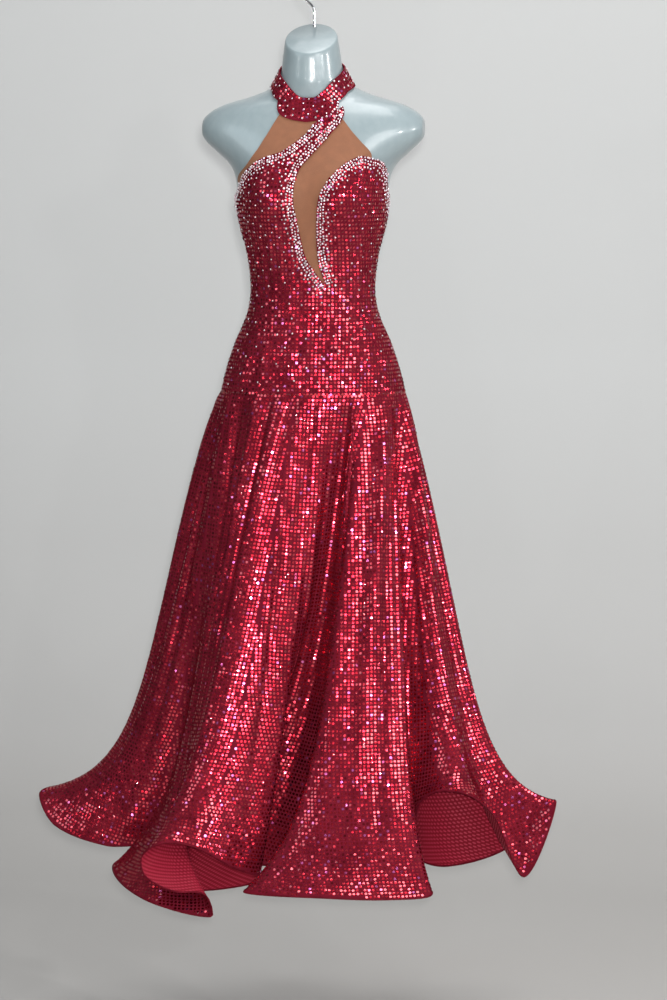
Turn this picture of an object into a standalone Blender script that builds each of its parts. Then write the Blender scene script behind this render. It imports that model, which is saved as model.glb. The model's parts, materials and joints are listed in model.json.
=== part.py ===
"""A floor-length showgirl gown, hanging on a limbless torso form with a hook.

The gown is a halter collar, a mesh inset, two front and two back panels and a skirt of
eight gores.  Each is a thin wall laid out from the same two surfaces: the figure's skin,
and the skirt that falls from its hip seam.
Places in the tables are in millimetres: +X is the viewer's right, -Y the front, +Z up,
and the origin is the seat of the hook.
"""
import math

import bpy
import bmesh
import numpy as np

MM = 0.001
SEAM_GAP = 0.3
SHARP_ANGLE = 50

# How far the faces of each layer lie off the form's skin
MESH_UNDERSIDE, MESH_FACE = 1.2, 2.2
CLOTH_UNDERSIDE, CLOTH_FACE = 3.5, 5.0
COLLAR_UNDERSIDE, COLLAR_FACE = 2.72, 4.22
SKIRT_WALL = 2.0

# The figure's level sections.  The slope lowers the front edge of a neck section.
FIGURE_COLUMNS = ("height", "half_width", "front", "back", "centre_y", "slope", "power")
FIGURE = (
    (-850, 156, 102, 112, -18, 0.00, 2.10),
    (-770, 163, 108, 120, -18, 0.00, 2.10),
    (-720, 155, 106, 118, -18, 0.00, 2.10),
    (-657, 135, 97, 104, -18, 0.00, 2.10),
    (-605, 113, 88, 88, -18, 0.00, 2.10),
    (-560, 106, 86, 80, -18, 0.00, 2.10),
    (-500, 112, 94, 80, -18, 0.00, 2.10),
    (-445, 126, 106, 86, -18, 0.00, 2.10),
    (-395, 134, 112, 90, -18, 0.00, 2.10),
    (-365, 137, 110, 92, -16, 0.00, 2.15),
    (-340, 148, 106, 92, -14, 0.00, 2.20),
    (-316, 173, 99, 92, -13, 0.00, 2.20),
    (-297, 193, 92, 90, -12, 0.00, 2.20),
    (-277, 202, 84, 86, -12, 0.00, 2.20),
    (-250, 188, 71, 80, -12, 0.00, 2.20),
    (-232, 154, 61, 72, -14, 0.05, 2.10),
    (-220, 110, 56, 66, -17, 0.14, 2.00),
    (-203, 69, 56, 60, -22, 0.26, 2.00),
    (-180, 56, 56, 54, -27, 0.38, 2.00),
    (-150, 51, 52, 50, -32, 0.50, 2.00),
    (-118, 46, 48, 46, -36, 0.60, 2.00),
)
ARM_CUT = 197
BUST = {"x": 68, "height": -398, "across": 46, "up": 52, "out": 26}
FORM_BOTTOM, NECK_TOP = -850, -118
FORM_SIDES = 44
END_RING_SHARE = 0.985
FORM_RINGS = (-850, -830, -790, -742, -700, -657, -610, -570, -530, -495, -465, -440, -420, -400,
              -378, -358, -340, -322, -304, -288, -270, -252, -238, -226, -215, -203, -188, -165,
              -140, -121, -118)
HIP_SEAM = -742
UNDERARM = -411

# Steps over which the skin's slope is taken, and the length of a degree at its widest
NORMAL_ANGLE_STEP, NORMAL_HEIGHT_STEP = 1.5, 2
MM_PER_DEGREE = 1.8

# Cut edges of the upper pieces, as angles round the figure (0 front, 90 viewer's right)
# and heights on it
SIDE_LEFT, SIDE_RIGHT = -90, 90
WAIST = -560
FRONT_SEAM = ((12, HIP_SEAM), (14, -680), (17, -610), (18, -552))
KEYHOLE_LEFT = ((18, -552), (12, -538), (5, -518), (0, -497), (-3, -460), (-5.5, -425),
                (-6.8, -400), (-5.5, -375), (-2, -349), (3, -328), (8, -306), (11, -288),
                (15, -270))
KEYHOLE_RIGHT = ((18, -552), (14, -532), (10.5, -505), (9.2, -466), (9.8, -430), (12, -397),
                 (16.4, -375), (21, -358), (26, -341), (32, -329), (36.4, -326))
BAND_OUTER = ((-90, WAIST), (-90, UNDERARM), (-80, -400), (-65, -385), (-52, -361),
              (-39, -344), (-25, -330), (-13, -321), (-4.4, -304), (0.1, -288), (2.5, -273))
RIGHT_TOP = ((90, WAIST), (90, UNDERARM), (82, -390), (73, -357), (58, -335))
MESH_LEFT = ((10, -568), (-8, -505), (-13, -440), (-20, -400), (-45, -378), (-66, -372),
             (-60, -358), (-45, -343), (-27, -315), (-17, -283), (-12, -246))
MESH_RIGHT = ((23, -568), (18, -500), (17, -466), (18, -430), (21, -397), (26, -375),
              (32, -358), (44, -338), (41, -322), (29.6, -304), (20.8, -282), (15, -255))
BACK_TOP = ((90, UNDERARM), (120, -432), (150, -470), (180, -500))
BACK_BOTTOM = ((90, HIP_SEAM), (120, HIP_SEAM), (150, HIP_SEAM), (180, HIP_SEAM))

# Rows and columns of each upper piece
SEAM_ROWS = 9
MESH_ROWS, MESH_COLUMNS = 24, 12
BAND_ROWS, FRONT_LEFT_COLUMNS = 26, 11
BUST_ROWS, FRONT_RIGHT_COLUMNS = 18, 8
BACK_ROWS, BACK_COLUMNS = 8, 12

# The collar's lower and upper edges round the neck
COLLAR_COLUMNS = ("angle", "lower", "upper")
COLLAR = (
    (0, -268, -216),
    (7, -263, -214),
    (13, -253, -208),
    (16, -241, -205),
    (20, -230, -201),
    (28, -222, -194),
    (40, -215, -184),
    (56, -208, -177),
    (90, -205, -173),
    (180, -215, -181),
)

# Where each skirt fold leaves the hip seam, where it meets the hem, how far it is tucked
# behind its neighbour, and how far the stiffened hem flicks aside at the very end
FOLD_COLUMNS = ("angle", "x", "y", "height", "tuck_x", "flick_x", "flick_y", "flick_z")
FOLDS = (
    (-176, 30, 300, -1560, 0, 0, 0, 0),
    (-163, -90, 355, -1545, 0, -10, 25, 15),
    (-150, -160, 270, -1565, 0, 0, 0, 0),
    (-138, -270, 290, -1540, 0, -20, 20, 20),
    (-124, -270, 170, -1562, 0, 0, 0, 0),
    (-108, -395, 150, -1520, 0, -30, 10, 30),
    (-91.5, -435, 30, -1520, 0, -50, 0, 40),
    (-80, -445, -5, -1534, 0, -64, -10, 46),
    (-69, -430, -45, -1552, 0, -40, -15, 16),
    (-57.5, -360, -75, -1568, 0, -10, -8, 2),
    (-50, -300, -72, -1568, 0, 0, 0, 0),
    (-41.5, -298, -150, -1584, 0, -42, -20, 0),
    (-36, -296, -212, -1590, 0, 42, -105, -16),
    (-30, -286, -240, -1584, 0, 156, -100, -44),
    (-26.5, -283, -250, -1576, 0, 143, -92, -14),
    (-23.5, -280, -262, -1568, 0, 84, -86, -16),
    (-18.5, -270, -276, -1551, 0, 22, -60, -10),
    (-13, -254, -292, -1532, 0, 0, -38, 4),
    (-8, -215, -300, -1520, 0, 2, -30, 16),
    (-3, -165, -296, -1526, 0, 4, -22, 13),
    (2.5, -115, -272, -1556, 0, 8, -10, 4),
    (8, -75, -245, -1582, 0, 12, 6, -4),
    (12.5, -64, -206, -1595, -84, 0, -26, -12),
    (18, -56, -188, -1600, -204, 0, -34, -12),
    (23, -36, -143, -1592, -206, 0, -14, -4),
    (27, -40, -138, -1583, -75, 0, 0, 0),
    (30, -20, -165, -1578, 0, 0, 0, 0),
    (33, -12, -280, -1572, 0, -38, -12, -4),
    (39, -10, -345, -1576, 0, -58, -12, -4),
    (47, 75, -368, -1576, 0, 0, -14, -3),
    (56, 170, -362, -1574, 0, 10, -12, -6),
    (61, 230, -335, -1570, 0, 22, -10, -6),
    (66, 195, -245, -1555, 15, 0, 0, 0),
    (70.5, 215, -215, -1490, 0, 0, -5, 40),
    (76, 272, -240, -1465, 0, 8, -15, 50),
    (81.5, 335, -255, -1488, 0, 14, -20, 40),
    (87, 380, -238, -1552, 0, 22, -18, -8),
    (92.5, 410, -180, -1500, 0, 40, 0, 60),
    (97, 340, -138, -1540, 14, 10, 0, 4),
    (100, 255, -132, -1570, 0, 0, 0, -4),
    (103.5, 200, -85, -1566, 0, 0, 0, 0),
    (108, 300, -25, -1530, 0, 15, -5, 10),
    (112, 375, 30, -1512, 0, 20, 0, 20),
    (116, 365, 95, -1530, 0, 20, 10, 20),
    (122.5, 270, 130, -1562, 0, 0, 0, 0),
    (130, 320, 240, -1535, 0, 20, 20, 24),
    (142.5, 190, 245, -1564, 0, 0, 0, 0),
    (155, 190, 350, -1538, 0, 12, 25, 22),
    (168, 90, 290, -1562, 0, 0, 0, 0),
)
HEM_STEP, TUCK_IN_HEM, FLICK_IN_HEM = 12, 0.35, 0.5
TUCK_POWER = 3.5
CONE_SHARE, BELL_POWER, FLICK_POWER = 0.74, 7, 11

# Shallow folds that gather at the hip seam and die out towards the hem
SOFT_FOLDS, SOFT_DEPTH = 19, 7.0
SOFT_DRIFT, SOFT_RISE, SOFT_FADE, SOFT_CENTRE = 3.1, 0.55, 12, 0.2

# Rows down the skirt, closer together where the hem flicks
SKIRT_ROWS = (0, 0.06, 0.14, 0.24, 0.35, 0.46, 0.57, 0.67, 0.76, 0.84, 0.90, 0.945, 0.975, 1)
GORE_CUTS = (0, 18, 36, 54, 75, 92, 108, 126, 144)
COLLAR_STEPS, COLLAR_ROWS, COLLAR_FINE_STEPS = 44, 4, 720
GORE_NAMES = ("back_left", "side_back_left", "side_left", "front_left",
              "front_right", "side_right", "side_back_right", "back_right")

# The hook's wire: half its width, the middle of its loop, and the run up from the neck
HOOK_WIRE, HOOK_LOOP, HOOK_SIDES = 2.6, 26.5, 10
HOOK_STEM = ((0, -95), (0, -85), (0, -76), (0, -69), (-2.5, -62), (-8, -55.5), (-15, -49),
             (-21, -41), (-25, -33))
HOOK_TURNS = range(-90, 126, 15)

MATERIALS = {
    "sequin_cloth": ((0.30, 0.012, 0.035), 0.0, 0.35),
    "nude_mesh": ((0.48, 0.21, 0.09), 0.0, 0.75),
    "form_plastic": ((0.80, 0.82, 0.85), 0.0, 0.25),
    "hook_chrome": ((0.75, 0.75, 0.77), 1.0, 0.15),
}


def smooth_value(places, values, place):
    """Value at a place by a curve through the rows that never overshoots them."""
    step = np.diff(places)
    rise = np.diff(values) / step
    tangent = np.concatenate([[rise[0]], (rise[:-1] + rise[1:]) / 2, [rise[-1]]])
    for i, slope in enumerate(rise):
        if slope == 0:
            tangent[i] = tangent[i + 1] = 0
            continue
        before, after = tangent[i] / slope, tangent[i + 1] / slope
        if before < 0:
            tangent[i] = before = 0
        if after < 0:
            tangent[i + 1] = after = 0
        size = before * before + after * after
        if size > 9:
            scale = 3 / math.sqrt(size)
            tangent[i] = scale * before * slope
            tangent[i + 1] = scale * after * slope
    i = int(np.clip(np.searchsorted(places, place) - 1, 0, len(rise) - 1))
    t = float(np.clip((place - places[i]) / step[i], 0, 1))
    return ((1 + 2 * t) * (1 - t) ** 2 * values[i]
            + t * (1 - t) ** 2 * step[i] * tangent[i]
            + t * t * (3 - 2 * t) * values[i + 1]
            + t * t * (t - 1) * step[i] * tangent[i + 1])


def table_columns(names, rows):
    """The table as one array for each named column."""
    array = np.array(rows, float)
    return {name: array[:, i] for i, name in enumerate(names)}


FIGURE_TABLE = table_columns(FIGURE_COLUMNS, FIGURE)
COLLAR_TABLE = table_columns(COLLAR_COLUMNS, COLLAR)
FOLD_TABLE = table_columns(FOLD_COLUMNS, FOLDS)


def figure_section(height):
    """Each column of the figure's table at one height."""
    places = FIGURE_TABLE["height"]
    return {name: smooth_value(places, FIGURE_TABLE[name], height) for name in FIGURE_COLUMNS[1:]}


def figure_point(angle, height):
    """Point on the form's skin at an angle in degrees and a height."""
    section = figure_section(height)
    across, along = math.sin(math.radians(angle)), math.cos(math.radians(angle))
    share = 2 / section["power"]
    x = section["half_width"] * math.copysign(abs(across) ** share, across)
    x = max(-ARM_CUT, min(ARM_CUT, x))
    depth = section["front"] if along >= 0 else section["back"]
    y = section["centre_y"] - depth * math.copysign(abs(along) ** share, along)
    if along > 0:
        for side in (-1, 1):
            off_x = (x - side * BUST["x"]) / BUST["across"]
            off_z = (height - BUST["height"]) / BUST["up"]
            y -= BUST["out"] * math.exp(-off_x ** 2 - off_z ** 2) * min(1, 2 * along)
    return np.array([x, y, height + section["slope"] * (y - section["centre_y"])])


def figure_normal(angle, height):
    """Outward direction of the form's skin."""
    left, right = (figure_point(angle + side * NORMAL_ANGLE_STEP, height) for side in (-1, 1))
    below, above = (figure_point(angle, height + side * NORMAL_HEIGHT_STEP) for side in (-1, 1))
    normal = np.cross(right - left, above - below)
    return normal / np.linalg.norm(normal)


def laid_on_figure(angle, height, lift):
    """Point held off the form's skin by a lift."""
    return figure_point(angle, height) + figure_normal(angle, height) * lift


def along_edge(edge, share):
    """Angle and height at a share of the length of a cut edge."""
    points = np.array(edge, float)
    runs = np.hypot(np.diff(points[:, 0]) * MM_PER_DEGREE, np.diff(points[:, 1]))
    distance = np.concatenate([[0], np.cumsum(runs)])
    target = share * distance[-1]
    return np.array([np.interp(target, distance, points[:, k]) for k in (0, 1)])


def panel_grid(stretches, columns):
    """Angles and heights of a panel, stretch by stretch between two cut edges."""
    grid = []
    for start_edge, end_edge, rows in stretches:
        for row in range(1 if grid else 0, rows + 1):
            start = along_edge(start_edge, row / rows)
            end = along_edge(end_edge, row / rows)
            grid.append([start + (end - start) * c / columns for c in range(columns + 1)])
    return grid


def lay_grid(grid, lift):
    """Points of a grid of angles and heights, held off the skin."""
    return np.array([[laid_on_figure(angle, height, lift) for angle, height in row] for row in grid])


def draw_in(points, amount):
    """Move the rim of a grid inwards, so that neighbouring pieces stay apart."""
    moved = points.copy()
    for edge, inner in ((np.s_[:, 0], np.s_[:, 1]), (np.s_[:, -1], np.s_[:, -2]),
                        (np.s_[0, :], np.s_[1, :]), (np.s_[-1, :], np.s_[-2, :])):
        inward = points[inner] - points[edge]
        moved[edge] += amount * inward / np.linalg.norm(inward, axis=-1, keepdims=True)
    return moved


def smooth_loop(shares, values, share):
    """Closed curve through the rows at a share of the way round."""
    count = len(values)
    i = int(np.searchsorted(shares, share, side="right")) - 1
    places = [shares[(i + k) % count] + math.floor((i + k) / count) for k in (-1, 0, 1, 2)]
    heights = [values[(i + k) % count] for k in (-1, 0, 1, 2)]
    step = places[2] - places[1]
    t = (share - places[1]) / step
    tangent_in = (heights[2] - heights[0]) / (places[2] - places[0]) * step
    tangent_out = (heights[3] - heights[1]) / (places[3] - places[1]) * step
    return ((1 + 2 * t) * (1 - t) ** 2 * heights[1] + t * (1 - t) ** 2 * tangent_in
            + t * t * (3 - 2 * t) * heights[2] + t * t * (t - 1) * tangent_out)


def hem_shares():
    """Share of the way round the hem at each fold, by the length of the hem."""
    x = (FOLD_TABLE["x"] + FOLD_TABLE["tuck_x"] * TUCK_IN_HEM
         + FOLD_TABLE["flick_x"] * FLICK_IN_HEM)
    y = FOLD_TABLE["y"] + FOLD_TABLE["flick_y"] * FLICK_IN_HEM
    runs = np.hypot(np.roll(x, -1) - x, np.roll(y, -1) - y) + HEM_STEP
    return np.concatenate([[0], np.cumsum(runs)[:-1]]) / runs.sum()


HEM_SHARES = hem_shares()


def skirt_fold(share):
    """Each column of the fold table at a share of the way round the hem."""
    values = {}
    for name in FOLD_COLUMNS:
        column = FOLD_TABLE[name]
        if name == "angle":
            unrolled = np.append(column, column[0] + 360)
            values[name] = float(np.interp(share, np.append(HEM_SHARES, 1), unrolled))
        else:
            values[name] = smooth_loop(HEM_SHARES, column, share)
    return values


def skirt_point(fold, down):
    """Point on the face of the skirt, a share of the way down one fold."""
    top = laid_on_figure(fold["angle"], HIP_SEAM - SEAM_GAP, CLOTH_FACE)
    spread = CONE_SHARE * down + (1 - CONE_SHARE) * down ** BELL_POWER
    flick = down ** FLICK_POWER
    x = (top[0] + (fold["x"] - top[0]) * spread + fold["tuck_x"] * down ** TUCK_POWER
         + fold["flick_x"] * flick)
    y = top[1] + (fold["y"] - top[1]) * spread + fold["flick_y"] * flick
    z = top[2] + (fold["height"] - top[2]) * down + fold["flick_z"] * flick
    outward = np.array([x, y - top[1] * SOFT_CENTRE, 0])
    outward /= np.linalg.norm(outward)
    turn = math.radians(fold["angle"])
    phase = SOFT_FOLDS * turn + SOFT_DRIFT * math.sin(3 * turn)
    swell = math.sin(math.pi * down ** SOFT_RISE) * (1 - down)
    depth = SOFT_DEPTH * max(0, swell) / (1 + abs(fold["tuck_x"]) / SOFT_FADE)
    return np.array([x, y, z]) + outward * depth * (1 + math.cos(phase))


def skirt_face(shares):
    """Face of the skirt as rows of points from the hip seam down."""
    folds = [skirt_fold(share % 1) for share in shares]
    return np.array([[skirt_point(fold, down) for fold in folds] for down in SKIRT_ROWS])


def wall_normals(points, closed):
    """Unit normals of a grid of points, to the right of its rows when going down."""
    if closed:
        wide = np.concatenate([points[:, -2:-1], points, points[:, 1:2]], axis=1)
        across = wide[:, 2:] - wide[:, :-2]
    else:
        across = np.gradient(points, axis=1)
    down = np.gradient(points, axis=0)
    normals = np.cross(down, across)
    return normals / np.linalg.norm(normals, axis=-1, keepdims=True)


def wall_mesh(name, face, underside, material):
    """Closed wall between two grids of points, with rims round its edges."""
    rows, columns = face.shape[:2]
    points = np.concatenate([face.reshape(-1, 3), underside.reshape(-1, 3)])
    behind = rows * columns
    faces = []
    for r in range(rows - 1):
        for c in range(columns - 1):
            a, b = r * columns + c, r * columns + c + 1
            d, e = a + columns, b + columns
            faces.append((a, b, e, d))
            faces.append((behind + d, behind + e, behind + b, behind + a))
    top = list(range(columns))
    right = [r * columns + columns - 1 for r in range(rows)]
    bottom = [(rows - 1) * columns + c for c in reversed(range(columns))]
    left = [r * columns for r in reversed(range(rows))]
    for rim in (top, right, bottom, left):
        for first, second in zip(rim, rim[1:]):
            faces.append((second, first, behind + first, behind + second))
    return mesh_object(name, points, faces, material)


def mesh_object(name, points, faces, material):
    """Object in metres with its faces turned outwards."""
    mesh = bpy.data.meshes.new(name)
    mesh.from_pydata([tuple(point * MM) for point in points], [], faces)
    work = bmesh.new()
    work.from_mesh(mesh)
    bmesh.ops.recalc_face_normals(work, faces=work.faces)
    bmesh.ops.triangulate(work, faces=work.faces)
    if work.calc_volume(signed=True) < 0:
        bmesh.ops.reverse_faces(work, faces=work.faces)
    work.to_mesh(mesh)
    work.free()
    mesh.materials.append(material)
    mesh.shade_smooth()
    mesh.set_sharp_from_angle(angle=math.radians(SHARP_ANGLE))
    thing = bpy.data.objects.new(name, mesh)
    bpy.context.scene.collection.objects.link(thing)
    return thing


def tube_faces(rings, sides):
    """Faces between rings of points, with a cap on each end."""
    last = (rings - 1) * sides
    faces = [tuple(range(sides)), tuple(reversed(range(last, last + sides)))]
    for ring in range(rings - 1):
        for side in range(sides):
            a = ring * sides + side
            b = ring * sides + (side + 1) % sides
            faces.append((a, b, b + sides, a + sides))
    return faces


def make_material(name):
    """Plain material with its colour, metal share and roughness."""
    colour, metal, rough = MATERIALS[name]
    material = bpy.data.materials.new(name)
    material.use_nodes = True
    shader = material.node_tree.nodes["Principled BSDF"]
    shader.inputs["Base Color"].default_value = (*colour, 1)
    shader.inputs["Metallic"].default_value = metal
    shader.inputs["Roughness"].default_value = rough
    return material


def build_panel(name, stretches, columns, layer, material):
    """One cut piece of the upper gown."""
    grid = panel_grid(stretches, columns)
    underside, face = (draw_in(lay_grid(grid, lift), SEAM_GAP / 2) for lift in layer)
    return wall_mesh(name, face, underside, material)


def collar_edge(name, angles):
    """One edge of the collar as points on the neck."""
    heights = [smooth_value(COLLAR_TABLE["angle"], COLLAR_TABLE[name], abs(angle))
               for angle in angles]
    return np.array([figure_point(*place) for place in zip(angles, heights)])


def collar_columns():
    """Angles round the neck that part the collar's lower edge into equal lengths."""
    fine = np.linspace(-180, 180, COLLAR_FINE_STEPS + 1)
    steps = np.linalg.norm(np.diff(collar_edge("lower", fine), axis=0), axis=-1)
    run = np.concatenate([[0], np.cumsum(steps)])
    return np.interp(np.linspace(0, run[-1], COLLAR_STEPS + 1), run, fine)


def build_collar(material):
    """Halter collar: a strip round the neck that meets itself at the back."""
    angles = collar_columns()
    lower, upper = collar_edge("lower", angles), collar_edge("upper", angles)
    neck = np.array([upper + (lower - upper) * fall for fall in np.linspace(0, 1, COLLAR_ROWS + 1)])
    outward = wall_normals(neck, closed=True)
    underside, face = (draw_in(neck + outward * lift, SEAM_GAP / 2)
                       for lift in (COLLAR_UNDERSIDE, COLLAR_FACE))
    return wall_mesh("collar", face, underside, material)


def build_form(material):
    """The limbless torso form, from its lower edge to the cut top of the neck."""
    points = []
    for height in FORM_RINGS:
        share = END_RING_SHARE if height in (FORM_BOTTOM, NECK_TOP) else 1
        section = figure_section(height)
        centre = np.array([0, section["centre_y"], height])
        for side in range(FORM_SIDES):
            skin = figure_point(side * 360 / FORM_SIDES, height)
            points.append(centre + (skin - centre) * share)
    return mesh_object("form", points, tube_faces(len(FORM_RINGS), FORM_SIDES), material)


def hook_path():
    """Centre line of the hook's wire, from the neck up and over."""
    centre_z = HOOK_WIRE - HOOK_LOOP
    path = [np.array([x, 0.0, z]) for x, z in HOOK_STEM]
    for turn in HOOK_TURNS:
        across, up = math.sin(math.radians(turn)), math.cos(math.radians(turn))
        path.append(np.array([HOOK_LOOP * across, 0.0, centre_z + HOOK_LOOP * up]))
    return path


def build_hook(material):
    """Round wire along the hook's path, its foot cut to the slant of the neck top."""
    path = hook_path()
    points = []
    for i, place in enumerate(path):
        ahead = path[min(i + 1, len(path) - 1)] - path[max(i - 1, 0)]
        ahead /= np.linalg.norm(ahead)
        side = np.cross(ahead, (0, 1, 0))
        for k in range(HOOK_SIDES):
            turn = 2 * math.pi * k / HOOK_SIDES
            offset = side * math.cos(turn) + np.array([0, 1, 0]) * math.sin(turn)
            points.append(place + offset * HOOK_WIRE)
    neck = figure_section(NECK_TOP)
    for k in range(HOOK_SIDES):
        level = NECK_TOP + neck["slope"] * (points[k][1] - neck["centre_y"])
        points[k][2] = level + SEAM_GAP
    return mesh_object("hook", points, tube_faces(len(path), HOOK_SIDES), material)


def build_skirt(material):
    """Eight gores cut from one folded surface."""
    shares = np.linspace(0, 1, GORE_CUTS[-1] + 1)
    face = skirt_face(shares)
    underside = face - wall_normals(face, closed=True) * SKIRT_WALL
    underside[0] = [laid_on_figure(skirt_fold(share % 1)["angle"], HIP_SEAM - SEAM_GAP,
                                   CLOTH_UNDERSIDE) for share in shares]
    for name, first, last in zip(GORE_NAMES, GORE_CUTS, GORE_CUTS[1:]):
        cut = np.s_[:, first:last + 1]
        wall_mesh("gore_" + name, gap_sides(face[cut]), gap_sides(underside[cut]), material)


def gap_sides(points):
    """Draw in only the two long edges of a gore."""
    moved = points.copy()
    for edge, inner in ((0, 1), (-1, -2)):
        inward = points[:, inner] - points[:, edge]
        moved[:, edge] += SEAM_GAP / 2 * inward / np.linalg.norm(inward, axis=-1, keepdims=True)
    return moved


def build_upper_gown(cloth, mesh_cloth):
    """Mesh inset, both fronts, both backs and the collar."""
    sequined = (CLOTH_UNDERSIDE, CLOTH_FACE)
    left_side = ((SIDE_LEFT, HIP_SEAM), (SIDE_LEFT, WAIST))
    right_side = ((SIDE_RIGHT, HIP_SEAM), (SIDE_RIGHT, WAIST))
    build_panel("mesh_inset", [(MESH_LEFT, MESH_RIGHT, MESH_ROWS)], MESH_COLUMNS,
                (MESH_UNDERSIDE, MESH_FACE), mesh_cloth)
    build_panel("front_left", [(left_side, FRONT_SEAM, SEAM_ROWS),
                               (BAND_OUTER, KEYHOLE_LEFT, BAND_ROWS)],
                FRONT_LEFT_COLUMNS, sequined, cloth)
    build_panel("front_right", [(FRONT_SEAM, right_side, SEAM_ROWS),
                                (KEYHOLE_RIGHT, RIGHT_TOP, BUST_ROWS)],
                FRONT_RIGHT_COLUMNS, sequined, cloth)
    for name, side in (("back_right", 1), ("back_left", -1)):
        top = [(side * angle, height) for angle, height in BACK_TOP]
        bottom = [(side * angle, height) for angle, height in BACK_BOTTOM]
        build_panel(name, [(bottom, top, BACK_ROWS)], BACK_COLUMNS, sequined, cloth)
    build_collar(cloth)


def build_gown():
    """Every piece, in the order in which it is put on the form."""
    cloth = make_material("sequin_cloth")
    build_form(make_material("form_plastic"))
    build_hook(make_material("hook_chrome"))
    build_upper_gown(cloth, make_material("nude_mesh"))
    build_skirt(cloth)


def main():
    for thing in list(bpy.data.objects):
        bpy.data.objects.remove(thing, do_unlink=True)
    build_gown()


main()
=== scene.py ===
"""Looks for the sequinned halter gown on its hanging torso form.

The cloth is laid out from the same figure and skirt surfaces as the solids, but finer.
Sequins and crystals are real discs and cut stones on that cloth.
Places in the tables are in millimetres: +X is the viewer's right, -Y the front, +Z up,
and the origin is the seat of the hook.
"""
import json
import math

import bpy
import bmesh
import numpy as np
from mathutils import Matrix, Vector
from mathutils.kdtree import KDTree

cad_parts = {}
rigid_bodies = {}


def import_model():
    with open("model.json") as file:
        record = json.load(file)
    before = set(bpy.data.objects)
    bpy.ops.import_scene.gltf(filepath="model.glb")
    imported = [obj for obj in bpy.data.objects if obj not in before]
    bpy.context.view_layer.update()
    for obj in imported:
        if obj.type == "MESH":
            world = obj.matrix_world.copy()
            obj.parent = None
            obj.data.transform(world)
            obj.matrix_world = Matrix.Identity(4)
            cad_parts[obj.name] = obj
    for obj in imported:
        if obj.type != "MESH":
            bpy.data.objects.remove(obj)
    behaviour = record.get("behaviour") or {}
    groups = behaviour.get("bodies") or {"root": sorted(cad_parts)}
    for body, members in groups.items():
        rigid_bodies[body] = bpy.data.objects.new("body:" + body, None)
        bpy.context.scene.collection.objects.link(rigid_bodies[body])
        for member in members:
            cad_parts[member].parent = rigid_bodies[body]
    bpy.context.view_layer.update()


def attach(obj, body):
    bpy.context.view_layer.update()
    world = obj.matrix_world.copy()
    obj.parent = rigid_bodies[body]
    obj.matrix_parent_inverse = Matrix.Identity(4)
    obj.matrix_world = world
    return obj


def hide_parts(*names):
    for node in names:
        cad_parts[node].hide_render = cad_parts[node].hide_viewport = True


MM = 0.001
RANDOM = np.random.default_rng(20)

# How far the faces of each layer lie off the form's skin
MESH_UNDERSIDE, MESH_FACE = 1.5, 2.2
CLOTH_UNDERSIDE, CLOTH_FACE = 4.0, 5.0
COLLAR_UNDERSIDE, COLLAR_FACE = 2.9, 4.2
SKIRT_WALL = 1.1
SEAM_GAP = 0.3

# The figure's level sections.  The slope lowers the front edge of a neck section.
FIGURE_COLUMNS = ("height", "half_width", "front", "back", "centre_y", "slope", "power")
FIGURE = (
    (-850, 156, 102, 112, -18, 0.00, 2.10),
    (-770, 163, 108, 120, -18, 0.00, 2.10),
    (-720, 155, 106, 118, -18, 0.00, 2.10),
    (-657, 135, 97, 104, -18, 0.00, 2.10),
    (-605, 113, 88, 88, -18, 0.00, 2.10),
    (-560, 106, 86, 80, -18, 0.00, 2.10),
    (-500, 112, 94, 80, -18, 0.00, 2.10),
    (-445, 126, 106, 86, -18, 0.00, 2.10),
    (-395, 134, 112, 90, -18, 0.00, 2.10),
    (-365, 137, 110, 92, -16, 0.00, 2.15),
    (-340, 148, 106, 92, -14, 0.00, 2.20),
    (-316, 173, 99, 92, -13, 0.00, 2.20),
    (-297, 193, 92, 90, -12, 0.00, 2.20),
    (-277, 202, 84, 86, -12, 0.00, 2.20),
    (-250, 188, 71, 80, -12, 0.00, 2.20),
    (-232, 154, 61, 72, -14, 0.05, 2.10),
    (-220, 110, 56, 66, -17, 0.14, 2.00),
    (-203, 69, 56, 60, -22, 0.26, 2.00),
    (-180, 56, 56, 54, -27, 0.38, 2.00),
    (-150, 51, 52, 50, -32, 0.50, 2.00),
    (-118, 46, 48, 46, -36, 0.60, 2.00),
)
ARM_CUT = 197
BUST = {"x": 68, "height": -398, "across": 46, "up": 52, "out": 26, "fade": 2}
FORM_BOTTOM, NECK_TOP = -850, -118
HIP_SEAM = -742
UNDERARM = -411

# Cut edges of the upper pieces, as angles round the figure (0 front, 90 viewer's right)
# and heights on it
SIDE_LEFT, SIDE_RIGHT = -90, 90
WAIST = -560
FRONT_SEAM = ((12, HIP_SEAM), (14, -680), (17, -610), (18, -552))
KEYHOLE_LEFT = ((18, -552), (12, -538), (5, -518), (0, -497), (-3, -460), (-5.5, -425),
                (-6.8, -400), (-5.5, -375), (-2, -349), (3, -328), (8, -306), (11, -288),
                (15, -270))
KEYHOLE_RIGHT = ((18, -552), (14, -532), (10.5, -505), (9.2, -466), (9.8, -430), (12, -397),
                 (16.4, -375), (21, -358), (26, -341), (32, -329), (36.4, -326))
BAND_OUTER = ((-90, WAIST), (-90, UNDERARM), (-80, -400), (-65, -385), (-52, -361),
              (-39, -344), (-25, -330), (-13, -321), (-4.4, -304), (0.1, -288), (2.5, -273))
RIGHT_TOP = ((90, WAIST), (90, UNDERARM), (82, -390), (73, -357), (58, -335))
MESH_LEFT = ((10, -568), (-8, -505), (-13, -440), (-20, -400), (-45, -378), (-66, -372),
             (-60, -358), (-45, -343), (-27, -315), (-17, -283), (-12, -246))
MESH_RIGHT = ((23, -568), (18, -500), (17, -466), (18, -430), (21, -397), (26, -375),
              (32, -358), (44, -338), (41, -322), (29.6, -304), (20.8, -282), (15, -255))
BACK_TOP = ((90, UNDERARM), (120, -432), (150, -470), (180, -500))

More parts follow.
